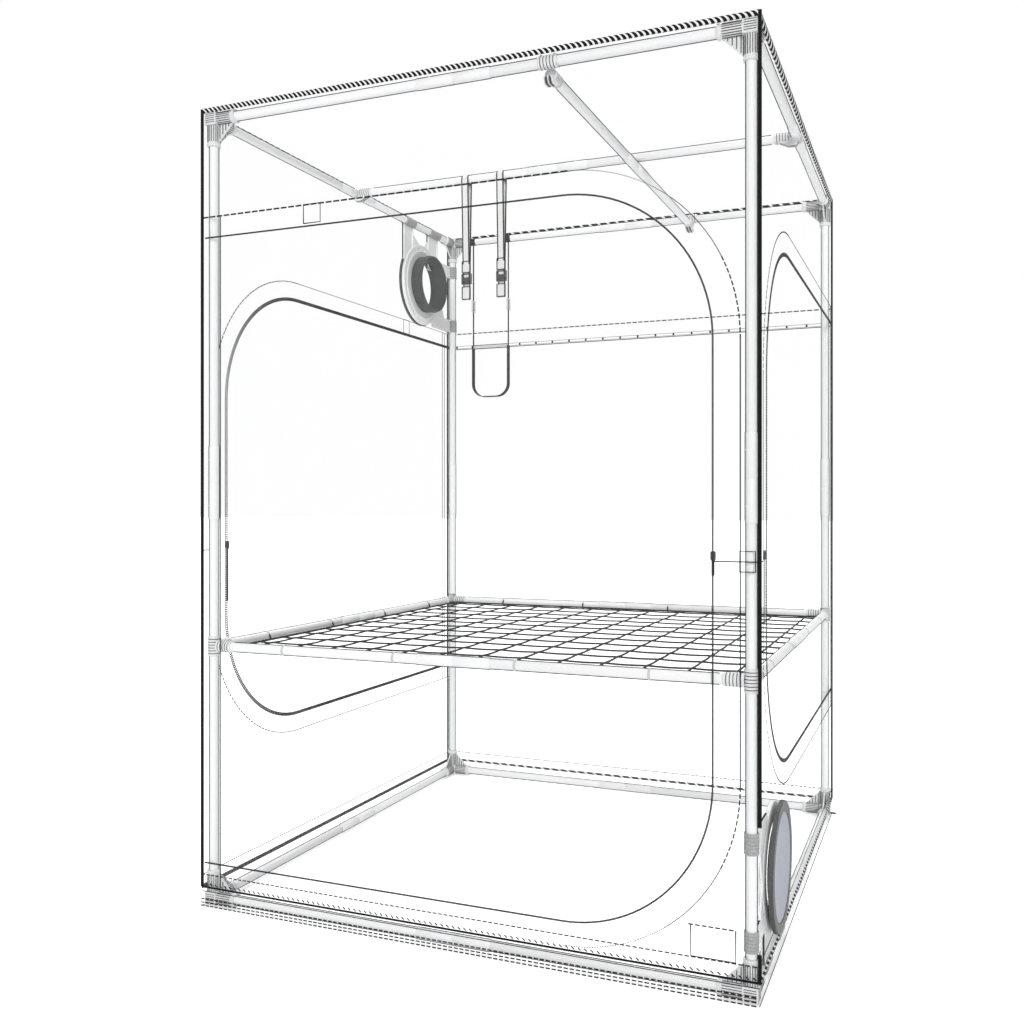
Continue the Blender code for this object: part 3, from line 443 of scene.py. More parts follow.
def ringed_profile(bore, radius, start, end, ribs):
    """A tube wall with raised ribs round it."""
    deep, wide, narrow = GROOVE
    points = [(bore, end), (bore, start), (radius - EDGE, start), (radius, start + EDGE)]
    for i in range(1, ribs):
        at = start + (end - start) / ribs * i
        points += [(radius, at - wide), (radius - deep, at - narrow)]
        points += [(radius - deep, at + narrow), (radius, at + wide)]
    return points + [(radius, end - EDGE), (radius - EDGE, end)]


def add_ringed(body, rings, bore, radius, span, ribs, place):
    """A ribbed tube wall, and dark rings in its grooves: painted shade in the grooves."""
    start, end = span
    add_turned(body, ringed_profile(bore, radius, start, end, ribs), place, FINE_SIDES)
    inner, outer, half = radius - GROOVE_SHADE[0], radius - GROOVE_SHADE[1], GROOVE_SHADE[2]
    for i in range(1, ribs):
        at = start + (end - start) / ribs * i
        ring = [(inner, at - half), (outer, at - half), (outer, at + half), (inner, at + half)]
        add_turned(rings, ring, place, FINE_SIDES)


def roof_clip(node, turn, drop):
    centre = centre_of(node)
    centre.z = CLIP_AXIS_Z
    inward = turned(turn)
    edge = inward.to_3x3() @ AXES["X"]
    if abs(edge.x) > 0.5:
        centre.x = -edge.x * AX
    else:
        centre.y = -edge.y * AY
    bm, ribs = bmesh.new(), bmesh.new()
    add_ringed(bm, ribs, RING_BORE, CLIP_R, (-CLIP_LEN / 2, CLIP_LEN / 2), CLIP_RIBS, along("Y"))
    add_ringed(bm, ribs, CLIP_BORE, CLIP_ARM_R, CLIP_SOCKET, CLIP_RIBS, along("X", (0, 0, -drop)))
    for i in range(-2, 3):
        offset = i * GUSSET_PITCH
        # Every other gusset slab takes the dark rib finish: painted shade between the gusset's ribs.
        add_slab(ribs if i % 2 else bm, [
            (-0.008, -drop - 0.011), (CLIP_SOCKET[1] - 0.010, -drop - 0.012), (0.022, -drop - GUSSET_DROP),
            (0.0, -drop - GUSSET_DROP)], offset - GUSSET_T / 2, offset + GUSSET_T / 2, turned(pi / 2, "X"))
    for side in (-1, 1):
        add_turned(ribs, SCREW, moved(CLIP_SCREW[0], side * CLIP_SCREW[1], CLIP_SCREW[2]), 12, False)
    for part in (bm, ribs):
        bmesh.ops.transform(part, matrix=moved(*centre) @ inward, verts=part.verts)
    made(node + "_moulded", bm, moulded, replaced=(node,), bevel=0.0004)
    made(node + "_ribs", ribs, rib_shade_and_screws)


roof_clip("roof_clip_left", 0, 0)
roof_clip("roof_clip_right", pi, 0)
roof_clip("roof_clip_front", pi / 2, BAR_DROP)
roof_clip("roof_clip_rear", -pi / 2, BAR_DROP)

for corner, (way_x, way_y) in INWARD.items():
    bm, ribs = bmesh.new(), bmesh.new()
    add_ringed(bm, ribs, CLIP_BORE, CLIP_R, (-CLAMP_LEN / 2, CLAMP_LEN / 2), CLAMP_RIBS, Matrix())
    for axis in "XY":
        add_ringed(bm, ribs, CLIP_BORE, CLIP_ARM_R, CLIP_SOCKET, CLIP_RIBS, along(axis))
    out, up = CLAMP_SCREW
    for height in (-up, up):
        add_turned(ribs, SCREW, moved(out, out, height) @ turned(pi / 4) @ turned(pi / 2, "Y"), 12, False)
    for part in (bm, ribs):
        mirrored(part, (-way_x * AX, -way_y * AY, NET_RAIL_Z), (way_x, way_y, 1))
    clamp = "net_clamp_" + corner
    made(clamp + "_ribs", ribs, rib_shade_and_screws)
    made(clamp + "_moulded", bm, moulded, replaced=(clamp,), bevel=0.0004)

# Trellis net: black cord, knotted where the strands cross, drawn tight inside the net rails by
# a border cord and tied to them by loops and pale tape ties.
NET_PITCH = 0.1107
NET_LINES = 13
NET_Z = 0.695
NET_HALF = AX - CLIP_R - 0.002
CORD_R = 0.0026
BORDER_R = CORD_R * 1.3
KNOT_R = 0.0040
KNOT_SHAPE = (1.25, 1, 0.8, 1)
SAG = 0.0015
SAG_STEPS = 4
TIE_SPOTS = (-4.5, -1.5, 1.5, 4.5)
TIE_W = 0.006
TIE_ARC = [radians(20 * k - 100) for k in range(14)]
TIE_BAND = ((0.0016, TIE_ARC), (0.0004, TIE_ARC[::-1]))
LOOP_STARTS = ((-0.012, 0.005, 0), (-0.003, -0.0133, 0))

black_cord = surface("black_net_cord", ((0.004, 0.004, 0.004), (0.016, 0.016, 0.017)), 0.8, 1400, 0.6,
                     specular=0.15)
hook_tape = surface("pale_hook_tape", ((0.45, 0.45, 0.45), (0.66, 0.66, 0.65)), 0.85, 1100, 0.8)


def add_cord(bm, points, radius, sides=6):
    """A round cord along a row of points, closed at its ends."""
    rings = []
    angles = [2 * pi * k / sides for k in range(sides)]
    for i, point in enumerate(points):
        ahead = (points[min(i + 1, len(points) - 1)] - points[max(i - 1, 0)]).normalized()
        side = ahead.cross(AXES["Z"] if abs(ahead.z) < 0.9 else AXES["X"]).normalized()
        up = side.cross(ahead)
        rings.append([bm.verts.new(point + (side * cos(a) + up * sin(a)) * radius) for a in angles])
    for low, high in zip(rings, rings[1:]):
        for k in range(sides):
            bm.faces.new((low[k], low[(k + 1) % sides], high[(k + 1) % sides], high[k]))
    bm.faces.new(rings[0][::-1])
    bm.faces.new(rings[-1])


strand_places = [(i - (NET_LINES - 1) / 2) * NET_PITCH for i in range(NET_LINES)]
crossings = [-NET_HALF] + strand_places + [NET_HALF]
bm = bmesh.new()
for across in strand_places:
    for front_to_back in (False, True):
        strand = []
        for start, end in zip(crossings, crossings[1:]):
            for part in range(SAG_STEPS):
                share = part / SAG_STEPS
                strand.append((start + (end - start) * share, NET_Z - SAG * sin(pi * share)))
        strand.append((NET_HALF, NET_Z))
        path = [Vector((across, run, z) if front_to_back else (run, across, z)) for run, z in strand]
        add_cord(bm, path, CORD_R)
for across in crossings:
    for deep in crossings:
        bmesh.ops.create_icosphere(bm, subdivisions=1, radius=KNOT_R,
                                   matrix=moved(across, deep, NET_Z) @ Matrix.Diagonal(KNOT_SHAPE))
for way in (-1, 1):
    add_cord(bm, [Vector((run, way * NET_HALF, NET_Z)) for run in crossings], BORDER_R)
    add_cord(bm, [Vector((way * NET_HALF, run, NET_Z)) for run in crossings], BORDER_R)
tie_outline = [((TUBE_R + grow) * cos(a), (TUBE_R + grow) * sin(a)) for grow, arc in TIE_BAND for a in arc]
ties = bmesh.new()
for spot in TIE_SPOTS:
    for quarter in range(4):
        rail = turned(quarter * pi / 2) @ moved(AX, spot * NET_PITCH, NET_RAIL_Z) @ turned(pi / 2, "X")
        add_slab(ties, tie_outline, -TIE_W / 2, TIE_W / 2, rail)
        border = rail @ Vector((NET_HALF - AX, NET_Z - NET_RAIL_Z, 0))
        for start in LOOP_STARTS:
            add_cord(bm, [rail @ Vector(start), border], CORD_R)
made("trellis_net_knotted", bm, black_cord, replaced=("trellis_net",))
made("trellis_net_ties", ties, hook_tape)

# Clear film: the walls and the roof are one soft clear film, sewn at its edges, with openings for
# the doors and the ports. The doors' lines follow the zips.
HALF_W = cad_high.y
HEIGHT = cad_high.z
BIND_W = 0.008
HINGE = HALF_W - BIND_W - 0.0003
FILM_OUT = 0.0018
FLAP_OUT = 0.0005
WALL_FOOT = 0.0013
WALL_TOP = HEIGHT - 0.0025
FRONT_ZIP = {"far": 0.646, "low": 0.1186, "high": 1.813, "radius": 0.355, "lap": 1.11}
SIDE_ZIP = {"far": 0.652, "low": 0.443, "high": 1.723, "radius": 0.34, "lap": 1.0}
ARC_STEPS = 28
SLOT = 0.003
VENT_HOLE = 0.106
INTAKE_HOLE = 0.128
FRONT_EDGE = HALF_W - 0.0013
SIDE_EDGE = HALF_W - 0.0026
WALL_SIZE = (2 * FRONT_EDGE, HEIGHT - WALL_FOOT)
STRIP_SHARE = 0.3
UPRIGHT = turned(pi / 2, "X")
FRONT = moved(0, -HALF_W, 0) @ UPRIGHT
RIGHT = moved(HALF_W, 0, 0) @ turned(pi / 2) @ UPRIGHT
REAR = moved(0, HALF_W, 0) @ turned(pi) @ UPRIGHT
LEFT = moved(-HALF_W, 0, 0) @ turned(-pi / 2) @ UPRIGHT
VENT = (-centre_of("vent_collar").y, centre_of("vent_collar").z)
INTAKE = (centre_of("intake_ring").y, centre_of("intake_ring").z)


def film(name, tint, alpha, wrinkle):
    """See-through film: a faint tint, a soft gloss and long shallow wrinkles."""
    material = surface(name, (tint, [min(1, c * 1.02) for c in tint]), 0.22, 2.2, 0.0)
    nodes, links = material.node_tree.nodes, material.node_tree.links
    nodes["Principled BSDF"].inputs["Alpha"].default_value = alpha
    folds = nodes.new("ShaderNodeTexNoise")
    folds.inputs["Scale"].default_value = 3.5
    folds.inputs["Detail"].default_value = 3
    folds.inputs["Distortion"].default_value = 0.8
    links.new(nodes["Texture Coordinate"].outputs["Object"], folds.inputs["Vector"])
    relief = nodes["Bump"]
    relief.inputs["Strength"].default_value = wrinkle
    relief.inputs["Distance"].default_value = 0.01
    links.new(folds.outputs["Fac"], relief.inputs["Height"])
    return material


clear = film("clear_film", (0.93, 0.945, 0.95), 0.03, 0.5)


def rect(low_u, high_u, low_v, high_v):
    return [(low_u, low_v), (high_u, low_v), (high_u, high_v), (low_u, high_v)]


def circle(u, v, radius, count=64):
    angles = [2 * pi * i / count for i in range(count)]
    return [(u + radius * cos(a), v + radius * sin(a)) for a in angles]


def door_line(way, zip_line, grow):
    """The zip's line, from the hinge round the far side and back, moved outwards by grow."""
    far = zip_line["far"] + grow * zip_line["lap"]
    low, high, radius = zip_line["low"] - grow, zip_line["high"] + grow, zip_line["radius"] + grow
    points = [(-HINGE * way, low)]
    for start, height, lift in ((0, low, 1), (1, high, -1)):
        for step in range(ARC_STEPS + 1):
            angle = pi / 2 * (step if start == 0 else ARC_STEPS - step) / ARC_STEPS
            points.append((way * (far - radius * (1 - sin(angle))),
                           height + lift * radius * (1 - cos(angle))))
    points.append((-HINGE * way, high))
    return points


def film_sheet(name, loops, depth, place, material, body, node, flat):
    """A flat sheet cut to its outline, with its openings."""
    curve = bpy.data.curves.new(name, "CURVE")
    curve.dimensions = "2D"
    curve.fill_mode = "BOTH"
    for loop in loops:
        spline = curve.splines.new("POLY")
        spline.points.add(len(loop) - 1)
        for point, (u, v) in zip(spline.points, loop):
            point.co = (u, v, 0, 1)
        spline.use_cyclic_u = True
    cutting = bpy.data.objects.new(name + "_cut", curve)
    scene.collection.objects.link(cutting)
    bpy.context.view_layer.update()
    flat_mesh = bpy.data.meshes.new_from_object(cutting.evaluated_get(bpy.context.evaluated_depsgraph_get()))
    bpy.data.objects.remove(cutting)
    bm = bmesh.new()
    bm.from_mesh(flat_mesh)
    bmesh.ops.remove_doubles(bm, verts=bm.verts, dist=0.00001)
    area = sum(face.calc_area() for face in bm.faces)
    bmesh.ops.transform(bm, matrix=place @ moved(0, 0, -depth), verts=bm.verts)
    sheet = made(name, bm, material, body, (node,))
    width, length = flat
    if area < STRIP_SHARE * width * length:
        width = 2 * area / (width + length)
        length = area / width


def wall_sheet(name, half, openings, place):
    film_sheet(name + "_film", [rect(-half, half, WALL_FOOT, WALL_TOP)] + openings, FILM_OUT, place, clear,
               "tent", name, WALL_SIZE)


wall_sheet("front_wall", FRONT_EDGE, [door_line(1, FRONT_ZIP, SLOT)], FRONT)
wall_sheet("left_wall", SIDE_EDGE, [door_line(1, SIDE_ZIP, SLOT), circle(*VENT, VENT_HOLE)], LEFT)
wall_sheet("right_wall", SIDE_EDGE, [door_line(-1, SIDE_ZIP, SLOT), circle(*INTAKE, INTAKE_HOLE)], RIGHT)
wall_sheet("rear_wall", FRONT_EDGE, [rect(-HINGE, HINGE, SIDE_ZIP["low"], SIDE_ZIP["high"] + SLOT)], REAR)
film_sheet("roof_panel_film", [rect(-FRONT_EDGE, FRONT_EDGE, -FRONT_EDGE, FRONT_EDGE)], 0,
           moved(0, 0, HEIGHT - FILM_OUT), clear, "tent", "roof_panel", (2 * FRONT_EDGE, 2 * FRONT_EDGE))

# Doors: the same film with a wide flap past the zip that covers it from outside. Each hangs on
# the sewn seam beside its corner binding. The rear panel is held at its foot.
FRONT_FLAP = 0.055
SIDE_FLAP = 0.054
PANEL_FOOT = SIDE_ZIP["low"] + 0.0003


def door_sheet(node, way, zip_line, flap, place):
    size = (HINGE + zip_line["far"] + flap, zip_line["high"] - zip_line["low"] + 2 * flap)
    film_sheet(node + "_film", [door_line(way, zip_line, flap)], FLAP_OUT, place, clear, node, node, size)


door_sheet("front_door", 1, FRONT_ZIP, FRONT_FLAP, FRONT)
door_sheet("left_door", 1, SIDE_ZIP, SIDE_FLAP, LEFT)
door_sheet("right_door", -1, SIDE_ZIP, SIDE_FLAP, RIGHT)
film_sheet("rear_panel_film", [rect(-HINGE, HINGE, PANEL_FOOT, SIDE_ZIP["high"] + SIDE_FLAP)], FLAP_OUT, REAR,
           clear, "rear_panel", "rear_panel", (2 * HINGE, SIDE_ZIP["high"] - SIDE_ZIP["low"] + SIDE_FLAP))

# Floor: a sheet of the same film sewn to the foot of the walls, and a loose waterproof tray
# lying on it, with its lip turned up on every side.
tray_film = film("tray_film", (0.90, 0.92, 0.93), 0.05, 0.6)
floor_low, floor_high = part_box("floor_sheet")
film_sheet("floor_sheet_film", [rect(floor_low.x, floor_high.x, floor_low.y, floor_high.y)], 0,
           moved(0, 0, floor_high.z / 2), clear, "tent", "floor_sheet",
           (floor_high.x - floor_low.x, floor_high.y - floor_low.y))
tray_low, tray_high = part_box("floor_tray")
bm = bmesh.new()
add_box(bm, tray_low, tray_high)
bmesh.ops.delete(bm, geom=[f for f in bm.faces if f.normal.z > 0.5], context="FACES_ONLY")
tray = made("floor_tray_film", bm, tray_film, "tent", ("floor_tray",))

# Edge binding: black woven tape folded over every edge of the skin and sewn down. Down the corners
# it is rolled over a cord and pressed flat beside the doors. Round the roof, and along the right
# and the rear foot, it is whipped with pale thread, which shows as stripes.
BEAD_R = 0.0042
BEAD_SINK = 0.0005
SWING_SLOPE = 0.1763
SWING_ROOM = 0.0006
WHIP_R = 0.0065
WHIP_RISE = 0.006
WHIP_IN = WHIP_R - 0.003
WHIP_RUN = (1, 0.5, 1)
WHIP_PITCH = 0.0135
WHIP_SHARE = 0.3
REAR_PITCH = 0.036
REAR_SHARE = 0.6
WHIP_THREAD = (0.82, 0.82, 0.82, 1)
TAPE_RIBS = 260
FOOT_SEAM_Z = 0.0530
FOOT_BAND_OUT = (0.0006, 0.0012)
INTAKE_GAP = (0.114, 0.391)
PIPING_TOP = HEIGHT + WHIP_RISE / 2


def black_tape(name, ribs, pitch=0, share=WHIP_SHARE):
    """Ribbed black tape, and pale thread wound round it where a pitch is given."""
    material = surface(name, ((0.003, 0.003, 0.003), (0.012, 0.012, 0.013)), 0.8, 700, 0.5, specular=0.1)
    nodes, links = material.node_tree.nodes, material.node_tree.links
    where = nodes["Texture Coordinate"]
    rib = nodes.new("ShaderNodeTexWave")
    rib.wave_type = "BANDS"
    rib.bands_direction = "DIAGONAL"
    rib.inputs["Scale"].default_value = ribs
    links.new(where.outputs["Object"], rib.inputs["Vector"])
    links.new(rib.outputs["Fac"], nodes["Bump"].inputs["Height"])
    if pitch:
        run = nodes.new("ShaderNodeVectorMath")
        run.operation = "DOT_PRODUCT"
        run.inputs[1].default_value = WHIP_RUN
        links.new(where.outputs["Object"], run.inputs[0])
        thread_here = run.outputs["Value"]
        for operation, second in (("MULTIPLY", 2 * pi / pitch), ("SINE", 0), ("GREATER_THAN", share)):
            step = nodes.new("ShaderNodeMath")
            step.operation = operation
            step.inputs[1].default_value = second
            links.new(thread_here, step.inputs[0])
            thread_here = step.outputs[0]
        colour = nodes.new("ShaderNodeMix")
        colour.data_type = "RGBA"
        links.new(thread_here, colour.inputs["Factor"])
        links.new(nodes["Color Ramp"].outputs["Color"], colour.inputs["A"])
        colour.inputs["B"].default_value = WHIP_THREAD
        links.new(colour.outputs["Result"], nodes["Principled BSDF"].inputs["Base Color"])
    return material


plain_tape = black_tape("black_binding", TAPE_RIBS)
whipped_tape = black_tape("whipped_binding", TAPE_RIBS, WHIP_PITCH)
rear_tape = black_tape("rear_whipped_binding", TAPE_RIBS, REAR_PITCH, REAR_SHARE)
piping = {corner: [(FOOT_SEAM_Z, PIPING_TOP)] for corner in INWARD}
piping["front_right"] = [(FOOT_SEAM_Z, INTAKE_GAP[0]), (INTAKE_GAP[1], PIPING_TOP)]
bm = bmesh.new()
for corner, spans in piping.items():
    way_x, way_y = INWARD[corner]
    for low_z, high_z in spans:
        add_turned(bm, [(BEAD_R, low_z), (BEAD_R, high_z)],
                   moved(-way_x * (HALF_W - BEAD_SINK), -way_y * (HALF_W - BEAD_SINK), 0), 12, False)
for vert in bm.verts:
    outward, inward = (1, 0) if vert.co.y < 0 else (0, 1)
    room = HALF_W + BEAD_SINK + (abs(vert.co[inward]) - HINGE) * SWING_SLOPE - SWING_ROOM
    if vert.co.x < 0 or vert.co.y > 0:
        vert.co[outward] = max(-room, min(vert.co[outward], room))
made("corner_piping", bm, plain_tape, replaced=("edge_binding",))
edge = HALF_W - EDGE
for name, quarters, tape in (("roof_piping", (0, 1, 3), whipped_tape), ("rear_roof_piping", (2,), rear_tape)):
    bm = bmesh.new()
    for quarter in quarters:
        roof_edge = turned(quarter * pi / 2) @ moved(0, WHIP_IN - edge, HEIGHT + WHIP_RISE - WHIP_R)
        add_turned(bm, [(WHIP_R, EDGE - edge), (WHIP_R, edge - EDGE)],
                   roof_edge @ turned(pi / 2, "Y"), 12, False)
    made(name, bm, tape)
for quarter, (side, tape, tall) in enumerate((("front", plain_tape, 0.0046), ("right", whipped_tape, 0.0100),
                                              ("rear", rear_tape, 0.0085), ("left", plain_tape, 0.0110))):
    bm = bmesh.new()
    proud, sunk = FOOT_BAND_OUT
    add_box(bm, (-HALF_W, -HALF_W - proud, FOOT_SEAM_Z - tall / 2),
            (HALF_W, sunk - HALF_W, FOOT_SEAM_Z + tall / 2), turned(quarter * pi / 2))
    made(side + "_foot_binding", bm, tape)

# Zips: a chain of black nylon teeth between two narrow black tapes. A fine one runs round the
# front door, and a coarse one from side to side round the back, over both rear corners, with long
# links across the back.
FRONT_TAPES = (0.0016, 0.0016)
LEFT_TAPES = (0.0018, 0.0016)
RIGHT_TAPES = (0.0010, 0.0024)
REAR_TAPES = (0.0013, 0.0013)
TAPE_T = 0.0004
TOOTH_T = 0.0012
ZIP_DEPTH = 0.0022
FINE_TEETH = (0.0010, 0.0038, 0.0050)
SIDE_TEETH = (0.0070, 0.0026, 0.0062)
REAR_TEETH = (0.0078, 0.0060, 0.0690)
REAR_LEAD = 0.0173

zip_tape = black_tape("zip_tape", 420)
tooth_nylon = surface("zip_teeth", ((0.004, 0.004, 0.004), (0.02, 0.02, 0.021)), 0.5, 900, 0.2, specular=0.2)


def offset_line(points, shift):
    """A line moved sideways by shift."""
    shifted = []
    for i, (u, v) in enumerate(points):
        before = points[max(i - 1, 0)]
        after = points[min(i + 1, len(points) - 1)]
        ahead = Vector((after[0] - before[0], after[1] - before[1])).normalized()
        shifted.append((u + ahead.y * shift, v - ahead.x * shift))
    return shifted


def add_band(bm, points, width, low, high, place, closed=False):
    """A flat band of some width along a line, from depth low to depth high."""
    if closed:
        points = points + [points[0]]
    left, right = offset_line(points, -width / 2), offset_line(points, width / 2)
    rows = []
    for a, b in zip(left, right):
        section = ((a, low), (b, low), (b, high), (a, high))
        rows.append([bm.verts.new(place @ Vector((u, v, w))) for (u, v), w in section])
    for row, following in zip(rows, rows[1:]):
        for k in range(4):
            bm.faces.new((row[k], row[(k + 1) % 4], following[(k + 1) % 4], following[k]))
    bm.faces.new(rows[0][::-1])
    bm.faces.new(rows[-1])


def add_teeth(bm, points, place, teeth, depth=ZIP_DEPTH, thick=TOOTH_T, lead=0.0, lean=0.0):
    """A row of small blocks along a line, each given as its width, length and pitch."""
    width, length, pitch = teeth
    left = lead
    for start, end in zip(points, points[1:]):
        run = Vector((end[0] - start[0], end[1] - start[1]))
        turn = turned(atan2(run.y, run.x) + lean)
        while left < run.length:
            at = Vector(start) + run.normalized() * left
            add_box(bm, (-length / 2, -width / 2, -depth - thick), (length / 2, width / 2, thick - depth),
                    place @ moved(at.x, at.y, 0) @ turn)
            left += pitch
        left -= run.length


def zip_run(name, runs):
    """A zip made of runs, each its points, plane, teeth, the widths of its two tapes, and its lead."""
    tapes = bmesh.new()
    teeth = bmesh.new()
    for points, place, chain, widths, lead in runs:
        for way, width in zip((-1, 1), widths):
            add_band(tapes, offset_line(points, way * (chain[0] + width) / 2), width, -ZIP_DEPTH - TAPE_T,
                     TAPE_T - ZIP_DEPTH, place)
        add_teeth(teeth, points, place, chain, lead=lead)
    made(name + "_tapes", tapes, zip_tape, replaced=(name,))
    made(name + "_teeth", teeth, tooth_nylon)


def around_side(way):
    """The side zip's line, carried on to the rear corner."""
    corner = -way * SIDE_EDGE
    return [(corner, SIDE_ZIP["low"])] + door_line(way, SIDE_ZIP, 0)[1:-1] + [(corner, SIDE_ZIP["high"])]


across_rear = [(-FRONT_EDGE, SIDE_ZIP["high"]), (FRONT_EDGE, SIDE_ZIP["high"])]
zip_run("front_zip", [(door_line(1, FRONT_ZIP, 0), FRONT, FINE_TEETH, FRONT_TAPES, 0)])
zip_run("side_and_rear_zip", [
    (around_side(1), LEFT, SIDE_TEETH, LEFT_TAPES, 0), (around_side(-1), RIGHT, SIDE_TEETH, RIGHT_TAPES, 0),
    (across_rear, REAR, REAR_TEETH, REAR_TAPES, REAR_LEAD)])

# Sewn hems and seams: dark thread along each flap's edge, the hinge strips, the tray's lip, the
# rows of stitches at the foot, and the level seam that crosses the front and side walls. On the
# front, the foot rows are dark lines along the bottom rail's edges: painted shade. Small bare tabs
# and one bare label place are sewn on.
HEM_W = 0.0027
BAND_WIDTHS = {"thin": 0.0018, "wide": 0.0150}
STITCHES = {"dashed": (0.0030, 0.0110, 0.0150), "fine": (0.0018, 0.0036, 0.0064),
            "bold": (0.0042, 0.0180, 0.0230), "heavy": (0.0060, 0.0280, 0.0380),
            "whipped": (0.0028, 0.0088, 0.0155)}
WHIP_LEAN = radians(-38)
WHIP_STITCH_Z = 0.0605
STITCH_T = 0.0004
FRONT_STRIP = 0.061 - HALF_W
SIDE_STRIP = HINGE - 0.0620
SIDE_STRIP_GAP = 0.018
HINGE_TAPE = -0.728
TAPE_GAP = 0.002
TAPE_TOP = HEIGHT - 0.006
REAR_SEAM_Z = SIDE_ZIP["high"] - 0.008
SEAM_Z = 0.966
SEAM_DEPTH = FILM_OUT - 0.0006
LIP_Z = 0.0860
TOP_TAB = (-0.4235, -0.3725, 1.8200, 1.8690)
CLOSING_TAB = (0.7060, 0.7400, 0.9440, 0.9890)
SIDE_TAB = (-0.4070, -0.3640, 1.7250, 1.7780)
LABEL_PLACE = (0.5970, 0.6970, 0.0886, 0.1586)
FLAP_SPANS = ((1, 13, "fine"), (12, 22, "thin"), (21, 30, "dashed"), (29, 31, "plain"), (30, 39, "dashed"),
              (38, 47, "thin"), (46, 59, "fine"), (58, 60, "bold"))
# The front's rows at 0.0100, 0.0200 and 0.0410 lie along the front bottom rail's edges: painted shade for its
# edges.
FOOT_ROWS = (((0.0016, "dashed"), (0.0100, "dashed"), (0.0200, "dashed"), (0.0410, "thin")),
             ((0.0016, "plain"),), ((0.0032, "heavy"),), ((0.0016, "plain"),))
LIP_STITCHES = ("dashed", "dashed", "dashed", "thin")

thread = surface("dark_thread", ((0.004, 0.004, 0.004), (0.03, 0.03, 0.031)), 0.85, 260, 0.5, specular=0.15)


def stitched(name, runs, body):
    """Sewn lines, each given as its points, plane, depth and kind of stitching."""
    bm = bmesh.new()
    for points, place, depth, kind in runs:
        if kind in STITCHES:
            lean = WHIP_LEAN if kind == "whipped" else 0
            add_teeth(bm, points, place, STITCHES[kind], depth, STITCH_T, lean=lean)
        else:
            add_band(bm, points, BAND_WIDTHS.get(kind, HEM_W), -depth - STITCH_T, STITCH_T - depth, place,
                     kind == "closed")
    made(name, bm, thread, body)


def level_line(start, end, v):
    return [(start, v), (end, v)]


def upright_line(u, start, end):
    return [(u, start), (u, end)]


flap_line = door_line(1, FRONT_ZIP, FRONT_FLAP)
flap_low, flap_top = FRONT_ZIP["low"] - FRONT_FLAP, FRONT_ZIP["high"] + FRONT_FLAP
flap_far = FRONT_ZIP["far"] + FRONT_FLAP
flap_runs = [(flap_line[first:last], FRONT, FLAP_OUT, kind) for first, last, kind in FLAP_SPANS]
stitched("front_door_hems", flap_runs + [
    (upright_line(FRONT_STRIP, flap_low, flap_top), FRONT, FLAP_OUT, "plain"),
    (rect(*TOP_TAB), FRONT, FLAP_OUT, "closed"),
    (level_line(FRONT_ZIP["far"], flap_far, SEAM_Z), FRONT, FLAP_OUT, "plain")], "front_door")
label_left, label_right, label_low, label_high = LABEL_PLACE
stitched("front_wall_seams", [
    (level_line(flap_far, FRONT_EDGE, SEAM_Z), FRONT, SEAM_DEPTH, "plain"),
    (rect(*CLOSING_TAB), FRONT, SEAM_DEPTH, "closed"),
    ([(label_left, label_high), (label_left, label_low), (label_right, label_low), (label_right, label_high)],
     FRONT, SEAM_DEPTH, "plain"),
    (level_line(label_left, label_right, label_high), FRONT, SEAM_DEPTH, "dashed")], "tent")
for side, place, way in (("left", LEFT, 1), ("right", RIGHT, -1)):
    low, high = SIDE_ZIP["low"] - SIDE_FLAP, SIDE_ZIP["high"] + SIDE_FLAP
    flap_line = door_line(way, SIDE_ZIP, SIDE_FLAP)
    door_runs = [(flap_line[:30], "dashed"), (flap_line[29:31], "plain"), (flap_line[30:59], "dashed"),
                 (flap_line[58:], "thin"), (upright_line(-way * SIDE_STRIP, low, high), "plain"),
                 (upright_line(-way * (SIDE_STRIP + SIDE_STRIP_GAP), low, high), "plain")]
    wall_runs = [(level_line(way * (SIDE_ZIP["far"] + SIDE_FLAP), way * SIDE_EDGE, SEAM_Z), "plain")]
    if side == "left":
        door_runs += [(rect(*SIDE_TAB), "closed"), (upright_line(HINGE_TAPE, low, high), "wide")]
        wall_runs += [(upright_line(HINGE_TAPE, FOOT_SEAM_Z, low - TAPE_GAP), "wide"),
                      (upright_line(HINGE_TAPE, high + TAPE_GAP, TAPE_TOP), "wide")]
    stitched(side + "_door_hems", [(points, place, FLAP_OUT, kind) for points, kind in door_runs],
             side + "_door")
    stitched(side + "_wall_seams", [(points, place, SEAM_DEPTH, kind) for points, kind in wall_runs], "tent")
stitched("rear_panel_hems", [
    (level_line(-HINGE, HINGE, SIDE_ZIP["high"] + SIDE_FLAP), REAR, FLAP_OUT, "bold"),
    (level_line(-HINGE, HINGE, REAR_SEAM_Z), REAR, FLAP_OUT, "plain")], "rear_panel")
rows = [(0, HALF_W, WHIP_STITCH_Z, "whipped")]
for quarter in range(4):
    rows.append((quarter, tray_high.x, LIP_Z, LIP_STITCHES[quarter]))
    rows += [(quarter, floor_high.x, level, kind) for level, kind in FOOT_ROWS[quarter]]
stitched("floor_seams", [(level_line(-edge, edge, level), turned(quarter * pi / 2) @ UPRIGHT, -edge, kind)
                         for quarter, edge, level, kind in rows], "tent")

# Zip sliders: black cast bodies that run on the inner side of the chains. The front one has a
# short tab, and the side ones each have a long tape to pull.
SLIDER_W = 0.012
SLIDER_TALL = 0.022
SLIDER_T = 0.005
SLIDER_BASE = 0.0036
NOSE = 0.004
BRIDGE = 0.003
SHOULDER = 0.002
LOOP_R = 0.0012
LOOP_AT = 0.006
PULL_DEPTH = (0.0030, 0.0016)

cast_black = surface("black_cast_slider", ((0.02, 0.02, 0.021), (0.05, 0.05, 0.052)), 0.38, 500, 0.3, 0.4)


